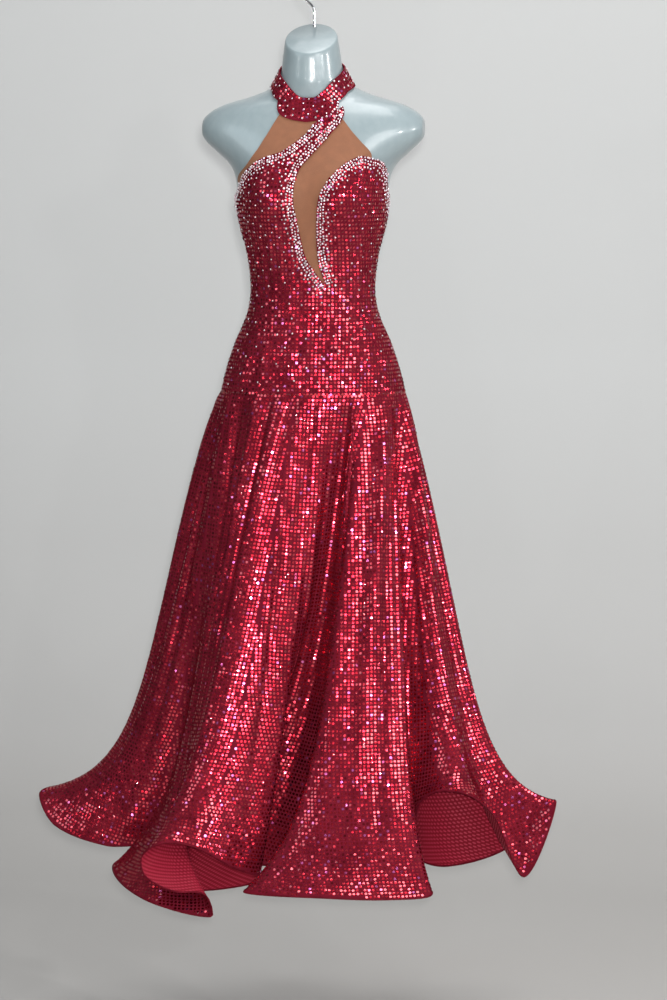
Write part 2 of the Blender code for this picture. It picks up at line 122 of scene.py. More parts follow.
# The band's own last bit, which lies over the collar's lower edge
BAND_TOP_OUTER, BAND_TOP_INNER = ((5.5, -263),), ((17.5, -255), (19, -240))

# The collar's lower and upper edges round the neck
COLLAR_COLUMNS = ("angle", "lower", "upper")
COLLAR = (
    (0, -268, -216),
    (7, -263, -214),
    (13, -253, -208),
    (16, -241, -205),
    (20, -230, -201),
    (28, -222, -194),
    (40, -215, -184),
    (56, -208, -177),
    (90, -205, -173),
    (180, -215, -181),
)

# Where each skirt fold leaves the hip seam, where it meets the hem, how far it is tucked
# behind its neighbour, and how far the stiffened hem flicks aside at the very end
FOLD_COLUMNS = ("angle", "x", "y", "height", "tuck_x", "flick_x", "flick_y", "flick_z")
FOLDS = (
    (-176, 30, 300, -1560, 0, 0, 0, 0),
    (-163, -90, 355, -1545, 0, -10, 25, 15),
    (-150, -160, 270, -1565, 0, 0, 0, 0),
    (-138, -270, 290, -1540, 0, -20, 20, 20),
    (-124, -270, 170, -1562, 0, 0, 0, 0),
    (-108, -395, 150, -1520, 0, -30, 10, 30),
    (-91.5, -435, 30, -1520, 0, -50, 0, 40),
    (-80, -445, -5, -1534, 0, -64, -10, 46),
    (-69, -430, -45, -1552, 0, -40, -15, 16),
    (-57.5, -360, -75, -1568, 0, -10, -8, 2),
    (-50, -300, -72, -1568, 0, 0, 0, 0),
    (-41.5, -298, -150, -1584, 0, -42, -20, 0),
    (-36, -296, -212, -1590, 0, 42, -105, -16),
    (-30, -286, -240, -1584, 0, 156, -100, -44),
    (-26.5, -283, -250, -1576, 0, 143, -92, -14),
    (-23.5, -280, -262, -1568, 0, 84, -86, -16),
    (-18.5, -270, -276, -1551, 0, 22, -60, -10),
    (-13, -254, -292, -1532, 0, 0, -38, 4),
    (-8, -215, -300, -1520, 0, 2, -30, 16),
    (-3, -165, -296, -1526, 0, 4, -22, 13),
    (2.5, -115, -272, -1556, 0, 8, -10, 4),
    (8, -75, -245, -1582, 0, 12, 6, -4),
    (12.5, -64, -206, -1595, -84, 0, -26, -12),
    (18, -56, -188, -1600, -204, 0, -34, -12),
    (23, -36, -143, -1592, -206, 0, -14, -4),
    (27, -40, -138, -1583, -75, 0, 0, 0),
    (30, -20, -165, -1578, 0, 0, 0, 0),
    (33, -12, -280, -1572, 0, -38, -12, -4),
    (39, -10, -345, -1576, 0, -58, -12, -4),
    (47, 75, -368, -1576, 0, 0, -14, -3),
    (56, 170, -362, -1574, 0, 10, -12, -6),
    (61, 230, -335, -1570, 0, 22, -10, -6),
    (66, 195, -245, -1555, 15, 0, 0, 0),
    (70.5, 215, -215, -1490, 0, 0, -5, 40),
    (76, 272, -240, -1465, 0, 8, -15, 50),
    (81.5, 335, -255, -1488, 0, 14, -20, 40),
    (87, 380, -238, -1552, 0, 22, -18, -8),
    (92.5, 410, -180, -1500, 0, 40, 0, 60),
    (97, 340, -138, -1540, 14, 10, 0, 4),
    (100, 255, -132, -1570, 0, 0, 0, -4),
    (103.5, 200, -85, -1566, 0, 0, 0, 0),
    (108, 300, -25, -1530, 0, 15, -5, 10),
    (112, 375, 30, -1512, 0, 20, 0, 20),
    (116, 365, 95, -1530, 0, 20, 10, 20),
    (122.5, 270, 130, -1562, 0, 0, 0, 0),
    (130, 320, 240, -1535, 0, 20, 20, 24),
    (142.5, 190, 245, -1564, 0, 0, 0, 0),
    (155, 190, 350, -1538, 0, 12, 25, 22),
    (168, 90, 290, -1562, 0, 0, 0, 0),
)

# How folds spread on the way down: the power of a tuck, the share that widens evenly as a
# cone does, and the powers of the bell below it and of the flick at the hem
TUCK_POWER = 3.5
CONE_SHARE, BELL_POWER, FLICK_POWER = 0.74, 7, 11

# What a tuck and a flick count for in the hem's length, and the least length of a fold
TUCK_SHARE, FLICK_SHARE, FOLD_LENGTH = 0.35, 0.5, 12

# Shallow folds that gather at the hip seam and die out towards the hem, and how far along
# the depth of the skirt they stand out
SOFT_FOLDS, SOFT_DEPTH = 19, 7.0
SOFT_DRIFT, SOFT_RISE, SOFT_FADE = 3.1, 0.55, 12
DRIFT_WAVES, OUTWARD_SHARE = 3, 0.2

# Creases, each with its share of the hem at its top and its low end, where it starts and ends
# on the way down, half its width, and how far it stands out, or in where that is negative
CREASE_RISE = 0.7
CREASES = (
    (0.198, 0.202, 0.05, 0.95, 13, 5),
    (0.214, 0.212, 0.02, 0.90, 9, -6),
    (0.236, 0.233, 0.03, 0.95, 9, -7),
    (0.260, 0.255, 0.02, 0.85, 11, 5),
    (0.281, 0.274, 0.04, 0.80, 8, -6),
    (0.300, 0.297, 0.02, 0.92, 9, 4),
    (0.322, 0.315, 0.03, 0.88, 8, -7),
    (0.342, 0.343, 0.02, 0.80, 8, 3),
    (0.364, 0.363, 0.02, 0.97, 11, 6),
    (0.384, 0.390, 0.03, 0.85, 8, -7),
    (0.412, 0.438, 0.02, 0.93, 10, 6),
    (0.430, 0.448, 0.04, 0.97, 8, -5),
    (0.453, 0.459, 0.02, 1.00, 13, -10),
    (0.478, 0.490, 0.05, 0.80, 9, 4),
    (0.503, 0.512, 0.03, 0.75, 8, -5),
    (0.522, 0.528, 0.06, 0.85, 9, 4),
    (0.541, 0.545, 0.02, 0.70, 8, -5),
    (0.560, 0.552, 0.02, 0.94, 10, 6),
    (0.572, 0.566, 0.25, 0.98, 8, -6),
    (0.585, 0.580, 0.03, 0.80, 8, -6),
    (0.603, 0.596, 0.08, 0.96, 9, 5),
    (0.612, 0.607, 0.30, 0.98, 8, -5),
    (0.622, 0.618, 0.02, 0.92, 8, -7),
    (0.640, 0.634, 0.04, 0.95, 8, -4),
    (0.666, 0.646, 0.04, 0.95, 9, 5),
    (0.681, 0.676, 0.04, 0.90, 8, -6),
    (0.694, 0.694, 0.10, 0.92, 10, 5),
    (0.716, 0.716, 0.08, 0.95, 9, -6),
    (0.760, 0.762, 0.05, 0.90, 11, -6),
    (0.800, 0.802, 0.05, 0.90, 12, 5),
    (0.845, 0.840, 0.05, 0.90, 11, -5),
    (0.900, 0.905, 0.05, 0.90, 12, 5),
    (0.950, 0.948, 0.05, 0.90, 12, -5),
    (0.020, 0.025, 0.05, 0.90, 12, 5),
    (0.075, 0.070, 0.05, 0.90, 12, -5),
    (0.120, 0.125, 0.05, 0.90, 12, 5),
    (0.165, 0.160, 0.05, 0.90, 12, -5),
)

# Fine gathers: how many, how deep, how they drift and wander, and how they come and go
GATHERS, GATHER_DEPTH, GATHER_DRIFT, GATHER_WAVES, GATHER_WANDER = 57, 1.3, 2.6, 5, 2.5
GATHER_MEAN, GATHER_SWING, GATHER_PATCHES, GATHER_PHASE = 0.55, 0.45, 7, 1.3

# Rows of the skirt as shares of the way down, and the columns where the gores are cut
SKIRT_ROWS = (0, 0.06, 0.14, 0.24, 0.35, 0.46, 0.57, 0.67, 0.76, 0.84, 0.90, 0.945, 0.975, 1)
GORE_CUTS = (0, 18, 36, 54, 75, 92, 108, 126, 144)
GORE_NAMES = ("back_left", "side_back_left", "side_left", "front_left",
              "front_right", "side_right", "side_back_right", "back_right")

# Pulls in the bodice, each with its angle at half height, its low and high end, its lean in
# degrees for each 100 mm up, half its width in degrees and its rise off the cloth
PULLS = (
    (-66, -600, -410, 1, 4.2, 2.0),
    (-52, -640, -430, 2, 3.5, 2.2),
    (-41, -600, -400, -1, 3.2, 2.0),
    (-31, -590, -430, 1, 2.9, 2.2),
    (-22, -560, -400, 1, 2.7, 2.5),
    (-13, -620, -470, 0, 2.6, 1.8),
    (29, -560, -430, -2, 2.6, 1.7),
    (38, -620, -420, -1, 3.2, 3.4),
    (45, -590, -400, 0, 3.1, 2.8),
    (52, -650, -390, 1, 3.4, 3.6),
    (60, -620, -410, 1, 3.6, 2.8),
    (69, -640, -420, 0, 4.3, 3.0),
    (80, -620, -440, 0, 4.2, 1.8),
    (-44, -740, -650, 3, 3.8, 2.0),
    (-29, -735, -640, -2, 3.5, 2.0),
    (-8, -730, -610, 2, 3.2, 2.1),
    (3, -735, -590, -2, 2.9, 2.0),
    (22, -735, -580, 2, 3.0, 2.2),
    (34, -735, -640, 1, 3.2, 2.1),
    (48, -738, -660, -2, 3.5, 2.1),
    (63, -735, -650, 1, 3.8, 2.0),
)

# Rows and columns of the solids' panels, and how much finer the cloth here is
MESH_ROWS, LOWER_ROWS, LEFT_ROWS, RIGHT_ROWS, BACK_ROWS = 24, 9, 28, 18, 8
MESH_COLUMNS, LEFT_COLUMNS, RIGHT_COLUMNS, BACK_COLUMNS = 12, 11, 8, 12
PANEL_FINENESS, ROW_FINENESS, COLUMN_FINENESS = 6, 4, 6
COLLAR_STEPS, COLLAR_ROWS, COLLAR_FINE_STEPS = 176, 16, 720
OUTLINE_ROWS, EDGE_SAMPLES, ROUND_SAMPLES, ROUNDING_PASSES = 60, 600, 721, 2

# Steps for slopes on the figure and the bodice, in degrees and millimetres, the length of a
# degree, the steepest end of a curve against its mean slope, margins of the fine figure, and
# the angles in degrees at which shading breaks
FIGURE_TURN, BODICE_TURN, SLOPE_RISE = 1.5, 0.4, 2
MM_PER_DEGREE, STEEPEST = 1.8, 3
FINE_BELOW, FINE_ABOVE = 12, 10
CLOTH_SHARP, TUBE_SHARP = 60, 55

# The form: height and size of the rings at its rounded ends, and where its even rings run
FORM_SIDES, FORM_RING_STEP = 128, 5
FOOT_RINGS = ((FORM_BOTTOM, 0.97), (FORM_BOTTOM + 1.5, 0.988), (FORM_BOTTOM + 5, 1))
NECK_RINGS = ((NECK_TOP - 4, 1), (NECK_TOP - 1.5, 0.985), (NECK_TOP, 0.955))
FOOT_END, NECK_END = FORM_BOTTOM + 12, NECK_TOP - 6

# The hook: heights of its stem, x and z of its bend, turns of its loop, and its rounded end
HOOK_WIRE, HOOK_LOOP, HOOK_SIDES, HOOK_FINENESS = 2.6, 26.5, 24, 4
HOOK_STEM = (-95, -85, -76, -69)
HOOK_BEND = ((-2.5, -62), (-8, -55.5), (-15, -49), (-21, -41), (-25, -33))
HOOK_TURNS = range(-90, 126, 15)
HOOK_TAPER = (0.9, 0.55)

# The hem's turned edge: rise over the hem and distance out from the cloth, all round it, and
# the step in metres between its lines on the flat cut
HEM_BINDING = 2.5
BINDING_PROFILE = ((HEM_BINDING, 0.25), (HEM_BINDING - 0.6, 0.75), (1.0, 0.8), (-0.6, 0.1),
                   (-0.9, -0.5), (-0.6, -1.2), (1.0, -1.9), (HEM_BINDING - 0.6, -1.8),
                   (HEM_BINDING, -1.3))
BINDING_CUT_STEP = 0.002

# Least share of width times length that a gore's area makes up when its size is worked out
FLARE_SHARE = 0.32

# Sequins: size, lean in radians, and how far they keep from the hem, seams and cut edges
SEQUIN_PITCH, SEQUIN_RADIUS, SEQUIN_LIFT = 6.8, 2.5, 0.35
SEQUIN_DOME, SEQUIN_SIDES, SEQUIN_TILT, BODICE_TILT = 0.09, 6, 0.075, 0.16
HEM_CLEAR, SEAM_CLEAR, PANEL_CLEAR = HEM_BINDING + 2, SEQUIN_RADIUS * 0.7, SEQUIN_PITCH * 0.12
COLLAR_CLEAR, COLLAR_FOOT_CLEAR = SEQUIN_PITCH / 2, SEQUIN_PITCH / 3
WHOLLY_INSIDE = 0.99

# Crystals: room, radii and lift, then their lean, the height of their table and the width and
# height of their rings in radii, and the slope from which a direction counts as upright
STONE_STEP, STONE_SMALL, STONE_LARGE, STONE_LIFT = 5.4, 1.8, 2.2, 0.5
STONE_SIDES, STONE_TILT, STONE_TABLE, UPRIGHT = 8, 0.05, 0.66, 0.8
STONE_RINGS = ((1.0, 0.0), (1.0, 0.25), (0.55, 0.62))
EDGE_SIZES, LOOSE_SIZES, COLLAR_SIZES = (0.65, 1.0), (0.72, 1.0), (0.75, 1.0)

# Where they lie: rows along the edges, then loose ones with more room further from them.
# That room starts with the open one, grows towards the hip and on the viewer's right, and
# shrinks towards the viewer's left.
STONE_ROWS, STONE_JITTER = (0.45, 1.35, 2.25), 0.6
STONE_SEARCH, STONE_DENSE_WIDTH, STONE_FADE_WIDTH = 2.2, 6, 22
STONE_MARGIN, LARGE_REACH = STONE_STEP * 0.8, STONE_DENSE_WIDTH * 1.5
OPEN_ROOM, LOW_ROOM, LOW_POWER, LEFT_ROOM, RIGHT_ROOM = 14, 17, 1.3, 3, 5
LOW_START, LOW_FALL, LEFT_START, LEFT_TURN = -420, 300, -20, 60
COLLAR_BAND_TOP, COLLAR_BAND_FOOT, COLLAR_BAND_WIDTH = 42, 16, 10
COLLAR_STONE_END, COLLAR_ROOM, FAR_AWAY = 130, STONE_STEP * 2.1, 1000

# The camera of the photograph
CAMERA_AZIMUTH, CAMERA_DISTANCE, CAMERA_HEIGHT = 8, 5500, -380
AIM_ACROSS, AIM_HEIGHT = 34, -940
FOCAL_PIXELS, FRAME_LONG_SIDE = 3071.35, 1000

# The stage in metres: its profile is y and height over the floor, its paint is shaded up to
# the given height
FLOOR_HEIGHT, STAGE_HALF_WIDTH, SHADE_HEIGHT = -1.93, 7.0, 1.1
STAGE_PROFILE = ((-5.0, 0.0), (1.2, 0.0), (1.7, 0.05), (2.05, 0.25), (2.25, 0.65), (2.3, 1.2),
                 (2.3, 6.0))

# Soft lights: place and aim in metres, width, power and colour
MIDDLE = (0, 0, -0.85)
SOFT_LIGHTS = {
    "key": ((2.6, -3.4, 0.9), MIDDLE, 1.6, 60, (1, 1, 1)),
    "fill": ((-2.4, -2.2, 1.1), (-0.1, 0, -0.3), 1.6, 20, (0.80, 0.93, 1.0)),
    "top": ((0.3, -0.6, 2.4), MIDDLE, 1.8, 60, (1, 1, 1)),
    "wall_wash": ((0.0, 1.0, 2.6), (0, 2.3, -0.6), 2.4, 33, (1, 1, 1)),
}
FLASH_OFFSET, FLASH_WIDTH, FLASH_POWER = (0.02, 0.0, 0.05), 0.07, 210

# The surrounding light: how it changes across and along, and its strength
WORLD_ACROSS, WORLD_ALONG, WORLD_STRENGTH = 0.22, 0.32, 0.36

# Small lamps that make the foil glint: azimuth in degrees, height in metres and power
GLINT_DISTANCE, GLINT_WIDTH = 4.8, 0.08
GLINT_LAMPS = (
    (18, 0.1, 16),
    (-16, -0.2, 7),
    (6, -1.2, 8),
    (36, -0.9, 14),
    (54, 0.5, 36),
    (80, 0.4, 50),
    (-46, 0.3, 8),
)


def unit(vectors):
    """Vectors at length 1."""
    return vectors / np.linalg.norm(vectors, axis=-1, keepdims=True)


def runs_across(grid):
    """Distance along each row of a grid of points."""
    runs = np.zeros(grid.shape[:2])
    runs[:, 1:] = np.cumsum(np.linalg.norm(np.diff(grid, axis=1), axis=-1), axis=1)
    return runs


def run_along(line):
    """Distance along a line of points."""
    return runs_across(line[None])[0]


def points_at(places, run, line):
    """Points at places along a line, whose own points lie at the given run."""
    return np.stack([np.interp(places, run, line[:, k]) for k in range(3)], axis=-1)


def smooth_value(places, values, place):
    """Value at a place by a curve through the rows that never overshoots them."""
    step = np.diff(places)
    rise = np.diff(values) / step
    tangent = np.concatenate([[rise[0]], (rise[:-1] + rise[1:]) / 2, [rise[-1]]])
    for i, slope in enumerate(rise):
        if slope == 0:
            tangent[i] = tangent[i + 1] = 0
            continue
        before, after = tangent[i] / slope, tangent[i + 1] / slope
        if before < 0:
            tangent[i] = before = 0
        if after < 0:
            tangent[i + 1] = after = 0
        size = before * before + after * after
        if size > STEEPEST ** 2:
            scale = STEEPEST / math.sqrt(size)
            tangent[i] = scale * before * slope
            tangent[i + 1] = scale * after * slope
    i = int(np.clip(np.searchsorted(places, place) - 1, 0, len(rise) - 1))
    t = float(np.clip((place - places[i]) / step[i], 0, 1))
    return ((1 + 2 * t) * (1 - t) ** 2 * values[i]
            + t * (1 - t) ** 2 * step[i] * tangent[i]
            + t * t * (3 - 2 * t) * values[i + 1]
            + t * t * (t - 1) * step[i] * tangent[i + 1])


def table_columns(names, rows):
    """The table as one array for each named column."""
    array = np.array(rows, float)
    return {name: array[:, i] for i, name in enumerate(names)}


FIGURE_TABLE = table_columns(FIGURE_COLUMNS, FIGURE)
COLLAR_TABLE = table_columns(COLLAR_COLUMNS, COLLAR)
FOLD_TABLE = table_columns(FOLD_COLUMNS, FOLDS)

FINE_HEIGHTS = np.arange(FORM_BOTTOM - FINE_BELOW, NECK_TOP + FINE_ABOVE, 1.0)
FINE_FIGURE = {name: np.array([smooth_value(FIGURE_TABLE["height"], FIGURE_TABLE[name], height)
                               for height in FINE_HEIGHTS]) for name in FIGURE_COLUMNS[1:]}


def figure_points(angles, heights):
    """Points on the form's skin at arrays of angles in degrees and heights."""
    section = {name: np.interp(heights, FINE_HEIGHTS, column) for name, column in FINE_FIGURE.items()}
    turn = np.radians(angles)
    across, along = np.sin(turn), np.cos(turn)
    share = 2 / section["power"]
    x = section["half_width"] * np.sign(across) * np.abs(across) ** share
    x = np.clip(x, -ARM_CUT, ARM_CUT)
    depth = np.where(along >= 0, section["front"], section["back"])
    y = section["centre_y"] - depth * np.sign(along) * np.abs(along) ** share
    for side in (-1, 1):
        off_x = (x - side * BUST["x"]) / BUST["across"]
        off_z = (heights - BUST["height"]) / BUST["up"]
        fade = np.clip(BUST["fade"] * along, 0, 1)
        swell = BUST["out"] * np.exp(-off_x ** 2 - off_z ** 2) * fade
        y = y - swell
    z = heights + section["slope"] * (y - section["centre_y"])
    return np.stack([x, y, z], axis=-1)


def face_normals(face, angles, heights, turn):
    """Outward directions of a face that is a function of angles and heights."""
    round_it = face(angles + turn, heights) - face(angles - turn, heights)
    up_it = face(angles, heights + SLOPE_RISE) - face(angles, heights - SLOPE_RISE)
    return unit(np.cross(round_it, up_it))


def figure_normals(angles, heights):
    """Outward directions of the form's skin."""
    return face_normals(figure_points, angles, heights, FIGURE_TURN)


def laid_on_figure(angles, heights, lift):
    """Points held off the form's skin by a lift."""
    angles, heights = np.asarray(angles, float), np.asarray(heights, float)
    return figure_points(angles, heights) + figure_normals(angles, heights) * lift


def cloth_pulls(angles, heights):
    """How far the small upright pulls lift the bodice's cloth."""
    lift = np.zeros(np.shape(angles))
    for angle, low, high, lean, width, rise in PULLS:
        line = angle + lean * (heights - (low + high) / 2) / 100
        along = np.clip((heights - low) / (high - low), 0, 1)
        lift += rise * np.sin(math.pi * along) * np.exp(-((angles - line) / width) ** 2)
    return lift


def bodice_face(angles, heights):
    """Outer face of the bodice's cloth."""
    angles, heights = np.asarray(angles, float), np.asarray(heights, float)
    return (figure_points(angles, heights)
            + figure_normals(angles, heights) * (CLOTH_FACE + cloth_pulls(angles, heights))[..., None])


def bodice_normals(angles, heights):
    """Outward directions of the bodice's cloth."""
    return face_normals(bodice_face, angles, heights, BODICE_TURN)


def along_edge(edge, share):
    """Angle and height at a share of the length of a cut edge."""
    points = np.array(edge, float)
    runs = np.hypot(np.diff(points[:, 0]) * MM_PER_DEGREE, np.diff(points[:, 1]))
    distance = np.concatenate([[0], np.cumsum(runs)])
    target = share * distance[-1]
    return np.array([np.interp(target, distance, points[:, k]) for k in (0, 1)])


def rounded_edge(edge):
    """The cut edge with its corners smoothed by a spline through its points."""
    points = np.array(edge, float)
    if len(points) < 4:
        return [tuple(point) for point in points]
    for _ in range(ROUNDING_PASSES):
        wide = np.concatenate([[2 * points[0] - points[1]], points, [2 * points[-1] - points[-2]]])
        middle = (-wide[:-3] + 9 * wide[1:-2] + 9 * wide[2:-1] - wide[3:]) / 16
        merged = np.empty((2 * len(points) - 1, 2))
        merged[0::2] = points
        merged[1::2] = middle
        points = merged
    return [tuple(point) for point in points]


def panel_grid(stretches, columns):
    """Angles and heights of a panel, stretch by stretch between two cut edges."""
    grid = []
    for start_edge, end_edge, rows in stretches:
        start_edge, end_edge = rounded_edge(start_edge), rounded_edge(end_edge)
        for row in range(1 if grid else 0, rows + 1):
            start = along_edge(start_edge, row / rows)
            end = along_edge(end_edge, row / rows)
            grid.append([start + (end - start) * c / columns for c in range(columns + 1)])
    return np.array(grid)


def smooth_loop(shares, values, share):
    """Closed curve through the rows at a share of the way round."""
    count = len(values)
    i = int(np.searchsorted(shares, share, side="right")) - 1
    places = [shares[(i + k) % count] + math.floor((i + k) / count) for k in (-1, 0, 1, 2)]
    heights = [values[(i + k) % count] for k in (-1, 0, 1, 2)]
    step = places[2] - places[1]
    t = (share - places[1]) / step
    tangent_in = (heights[2] - heights[0]) / (places[2] - places[0]) * step
    tangent_out = (heights[3] - heights[1]) / (places[3] - places[1]) * step
    return ((1 + 2 * t) * (1 - t) ** 2 * heights[1] + t * (1 - t) ** 2 * tangent_in
            + t * t * (3 - 2 * t) * heights[2] + t * t * (t - 1) * tangent_out)


def hem_shares():
    """Share of the way round the hem at each fold, by the length of the hem."""
    x = FOLD_TABLE["x"] + FOLD_TABLE["tuck_x"] * TUCK_SHARE + FOLD_TABLE["flick_x"] * FLICK_SHARE
    y = FOLD_TABLE["y"] + FOLD_TABLE["flick_y"] * FLICK_SHARE
    runs = np.hypot(np.roll(x, -1) - x, np.roll(y, -1) - y) + FOLD_LENGTH
    return np.concatenate([[0], np.cumsum(runs)[:-1]]) / runs.sum()


HEM_SHARES = hem_shares()


def skirt_folds(shares):
    """Each column of the fold table at shares of the way round the hem."""
    folds = {}
    for name in FOLD_COLUMNS:
        column = FOLD_TABLE[name]
        if name == "angle":
            unrolled = np.append(column, column[0] + 360)
            folds[name] = np.interp(shares, np.append(HEM_SHARES, 1), unrolled)
        else:
            folds[name] = np.array([smooth_loop(HEM_SHARES, column, share % 1) for share in shares])
    return folds


def skirt_face(shares, downs):
    """Face of the skirt as rows of points from the hip seam down."""
    folds = skirt_folds(shares)
    top = laid_on_figure(folds["angle"], np.full(len(shares), HIP_SEAM - SEAM_GAP), CLOTH_FACE)
    turn = np.radians(folds["angle"])
    phase = SOFT_FOLDS * turn + SOFT_DRIFT * np.sin(DRIFT_WAVES * turn)
    rows = []
    for down in downs:
        spread = CONE_SHARE * down + (1 - CONE_SHARE) * down ** BELL_POWER
        flick = down ** FLICK_POWER
        x = (top[:, 0] + (folds["x"] - top[:, 0]) * spread + folds["tuck_x"] * down ** TUCK_POWER
             + folds["flick_x"] * flick)
        y = top[:, 1] + (folds["y"] - top[:, 1]) * spread + folds["flick_y"] * flick
        z = top[:, 2] + (folds["height"] - top[:, 2]) * down + folds["flick_z"] * flick
        outward = unit(np.stack([x, y - top[:, 1] * OUTWARD_SHARE, np.zeros(len(x))], axis=-1))
        swell = max(0, math.sin(math.pi * down ** SOFT_RISE) * (1 - down))
        depth = SOFT_DEPTH * swell / (1 + np.abs(folds["tuck_x"]) / SOFT_FADE)
        ripple = (depth * (1 + np.cos(phase)))[:, None]
        rows.append(np.stack([x, y, z], axis=-1) + outward * ripple)
    return np.array(rows)


def skirt_creases(shares, downs, face):
    """How far the creases and the fine gathers move each point of the skirt's face."""
    runs = runs_across(face)
    turn = np.radians(skirt_folds(shares)["angle"])
    phase = GATHERS * turn + GATHER_DRIFT * np.sin(GATHER_WAVES * turn)
    strength = GATHER_MEAN + GATHER_SWING * np.cos(GATHER_PATCHES * turn + GATHER_PHASE)
    wander = GATHER_WANDER * np.sin(DRIFT_WAVES * turn)
    relief = np.zeros(face.shape[:2])
    for row, down in enumerate(downs):
        swell = math.sin(math.pi * down ** SOFT_RISE) if down < 1 else 0
        relief[row] = GATHER_DEPTH * swell * strength * np.cos(phase + wander * down)
        for top, low, start, end, width, depth in CREASES:
            if not start < down < end:
                continue
            fall = (down - start) / (end - start)
            centre = np.interp(top + (low - top) * fall, shares, runs[row])
            bell = np.exp(-((runs[row] - centre) / width) ** 2)
            relief[row] += depth * math.sin(math.pi * fall ** CREASE_RISE) * bell
    return relief


def wall_normals(points):
    """Outward directions of a grid of points whose rows go all the way round."""
    wide = np.concatenate([points[:, -2:-1], points, points[:, 1:2]], axis=1)
    across = wide[:, 2:] - wide[:, :-2]
    return unit(np.cross(np.gradient(points, axis=0), across))


def in_scene(name, data):
    """New object in the scene."""
    thing = bpy.data.objects.new(name, data)
    bpy.context.scene.collection.objects.link(thing)
    return thing


def fast_mesh(name, points, faces, materials, face_slots=None, smooth=True):
    """Object from an array of points in millimetres and an array of equal-sided faces."""
    mesh = bpy.data.meshes.new(name)
    points = np.asarray(points, np.float32) * MM
    faces = np.asarray(faces, np.int32)
    sides = faces.shape[1]
    mesh.vertices.add(len(points))
    mesh.vertices.foreach_set("co", points.ravel())
    mesh.loops.add(faces.size)
    mesh.loops.foreach_set("vertex_index", faces.ravel())
    mesh.polygons.add(len(faces))
    mesh.polygons.foreach_set("loop_start", np.arange(0, faces.size, sides, dtype=np.int32))
    mesh.polygons.foreach_set("loop_total", np.full(len(faces), sides, np.int32))
    for material in materials:
        mesh.materials.append(material)
    if face_slots is not None:
        mesh.polygons.foreach_set("material_index", np.asarray(face_slots, np.int32))
    mesh.update(calc_edges=True)
    mesh.validate()
    if smooth:
        mesh.shade_smooth()
    return in_scene(name, mesh)


def grid_faces(rows, columns, start=0, flip=False):
    """Quads of a grid of points."""
    r, c = np.meshgrid(np.arange(rows - 1), np.arange(columns - 1), indexing="ij")
    a = (start + r * columns + c).ravel()
    quads = np.stack([a, a + columns, a + columns + 1, a + 1], axis=-1)
    return quads[:, ::-1] if flip else quads


def cloth_flat_places(face):
    """Distance across and down the cloth for each point of its grid, in millimetres."""
    down = runs_across(face.swapaxes(0, 1)).T
    across = runs_across(face)
    across -= across[:, face.shape[1] // 2][:, None]
    return across, down


def cloth_shell(name, face, underside, front, reverse):
    """Thin closed cloth: its face, its reverse side and its cut edges."""
    rows, columns = face.shape[:2]
    points = np.concatenate([face.reshape(-1, 3), underside.reshape(-1, 3)])
    behind = rows * columns
    outer = grid_faces(rows, columns)
    inner = grid_faces(rows, columns, behind, flip=True)
    rim = np.concatenate([np.arange(columns),
                          np.arange(1, rows) * columns + columns - 1,
                          (rows - 1) * columns + np.arange(columns - 2, -1, -1),
                          np.arange(rows - 2, -1, -1) * columns])
    edge = np.stack([rim[1:], rim[:-1], rim[:-1] + behind, rim[1:] + behind], axis=-1)[:, ::-1]
    faces = np.concatenate([outer, inner, edge])
    slots = np.concatenate([np.zeros(len(outer)), np.ones(len(inner) + len(edge))])
    thing = fast_mesh(name, points, faces, (front, reverse), slots)
    work = bmesh.new()
    work.from_mesh(thing.data)
    if work.calc_volume(signed=True) < 0:
        bmesh.ops.reverse_faces(work, faces=work.faces)
        work.to_mesh(thing.data)
    work.free()
    thing.data.set_sharp_from_angle(angle=math.radians(CLOTH_SHARP))
    across, down = cloth_flat_places(face)
    flat = np.stack([across, down], axis=-1).reshape(-1, 2) * MM
    write_cut(thing, np.concatenate([flat, flat]))
    return thing


def write_cut(thing, flat):
    """Each point's place on the flat cut, as the map that the materials read."""
    layer = thing.data.uv_layers.new(name="cut")
    corners = np.empty(len(thing.data.loops), np.int32)
    thing.data.loops.foreach_get("vertex_index", corners)
    layer.data.foreach_set("uv", flat[corners].astype(np.float32).ravel())


def lay_dots(face, normals, pitch, clear_top, clear_bottom, clear_side):
    """Square grid of places on a cloth, upright along its middle line."""
    _, down = cloth_flat_places(face)
    middle = face.shape[1] // 2
    centres, outward, along = [], [], []
    for distance in np.arange(clear_top, down.max(), pitch):
        keep = (distance <= down[-1] - clear_bottom).astype(float)
        line, line_normals = (np.array([points_at(distance, down[:, c], grid[:, c])
                                        for c in range(face.shape[1])]) for grid in (face, normals))
        run = run_along(line)
        first = math.ceil((run[0] + clear_side - run[middle]) / pitch)
        last = math.floor((run[-1] - clear_side - run[middle]) / pitch)
        places = run[middle] + np.arange(first, last + 1) * pitch
        places = places[np.interp(places, run, keep) > WHOLLY_INSIDE]
        if len(places) == 0:
            continue
        centres.append(points_at(places, run, line))
        outward.append(points_at(places, run, line_normals))
        along.append(points_at(places, run, np.gradient(line, axis=0)))
    return np.concatenate(centres), np.concatenate(outward), np.concatenate(along)


def circles(outward, along, sides):
    """A circle of directions about each outward one, turned at random."""
    side = unit(np.cross(outward, along))
    front = np.cross(side, outward)
    turns = np.arange(sides) * 2 * math.pi / sides
    spin = RANDOM.uniform(0, 2 * math.pi, (len(outward), 1)) + turns
    return np.cos(spin)[..., None] * side[:, None] + np.sin(spin)[..., None] * front[:, None]


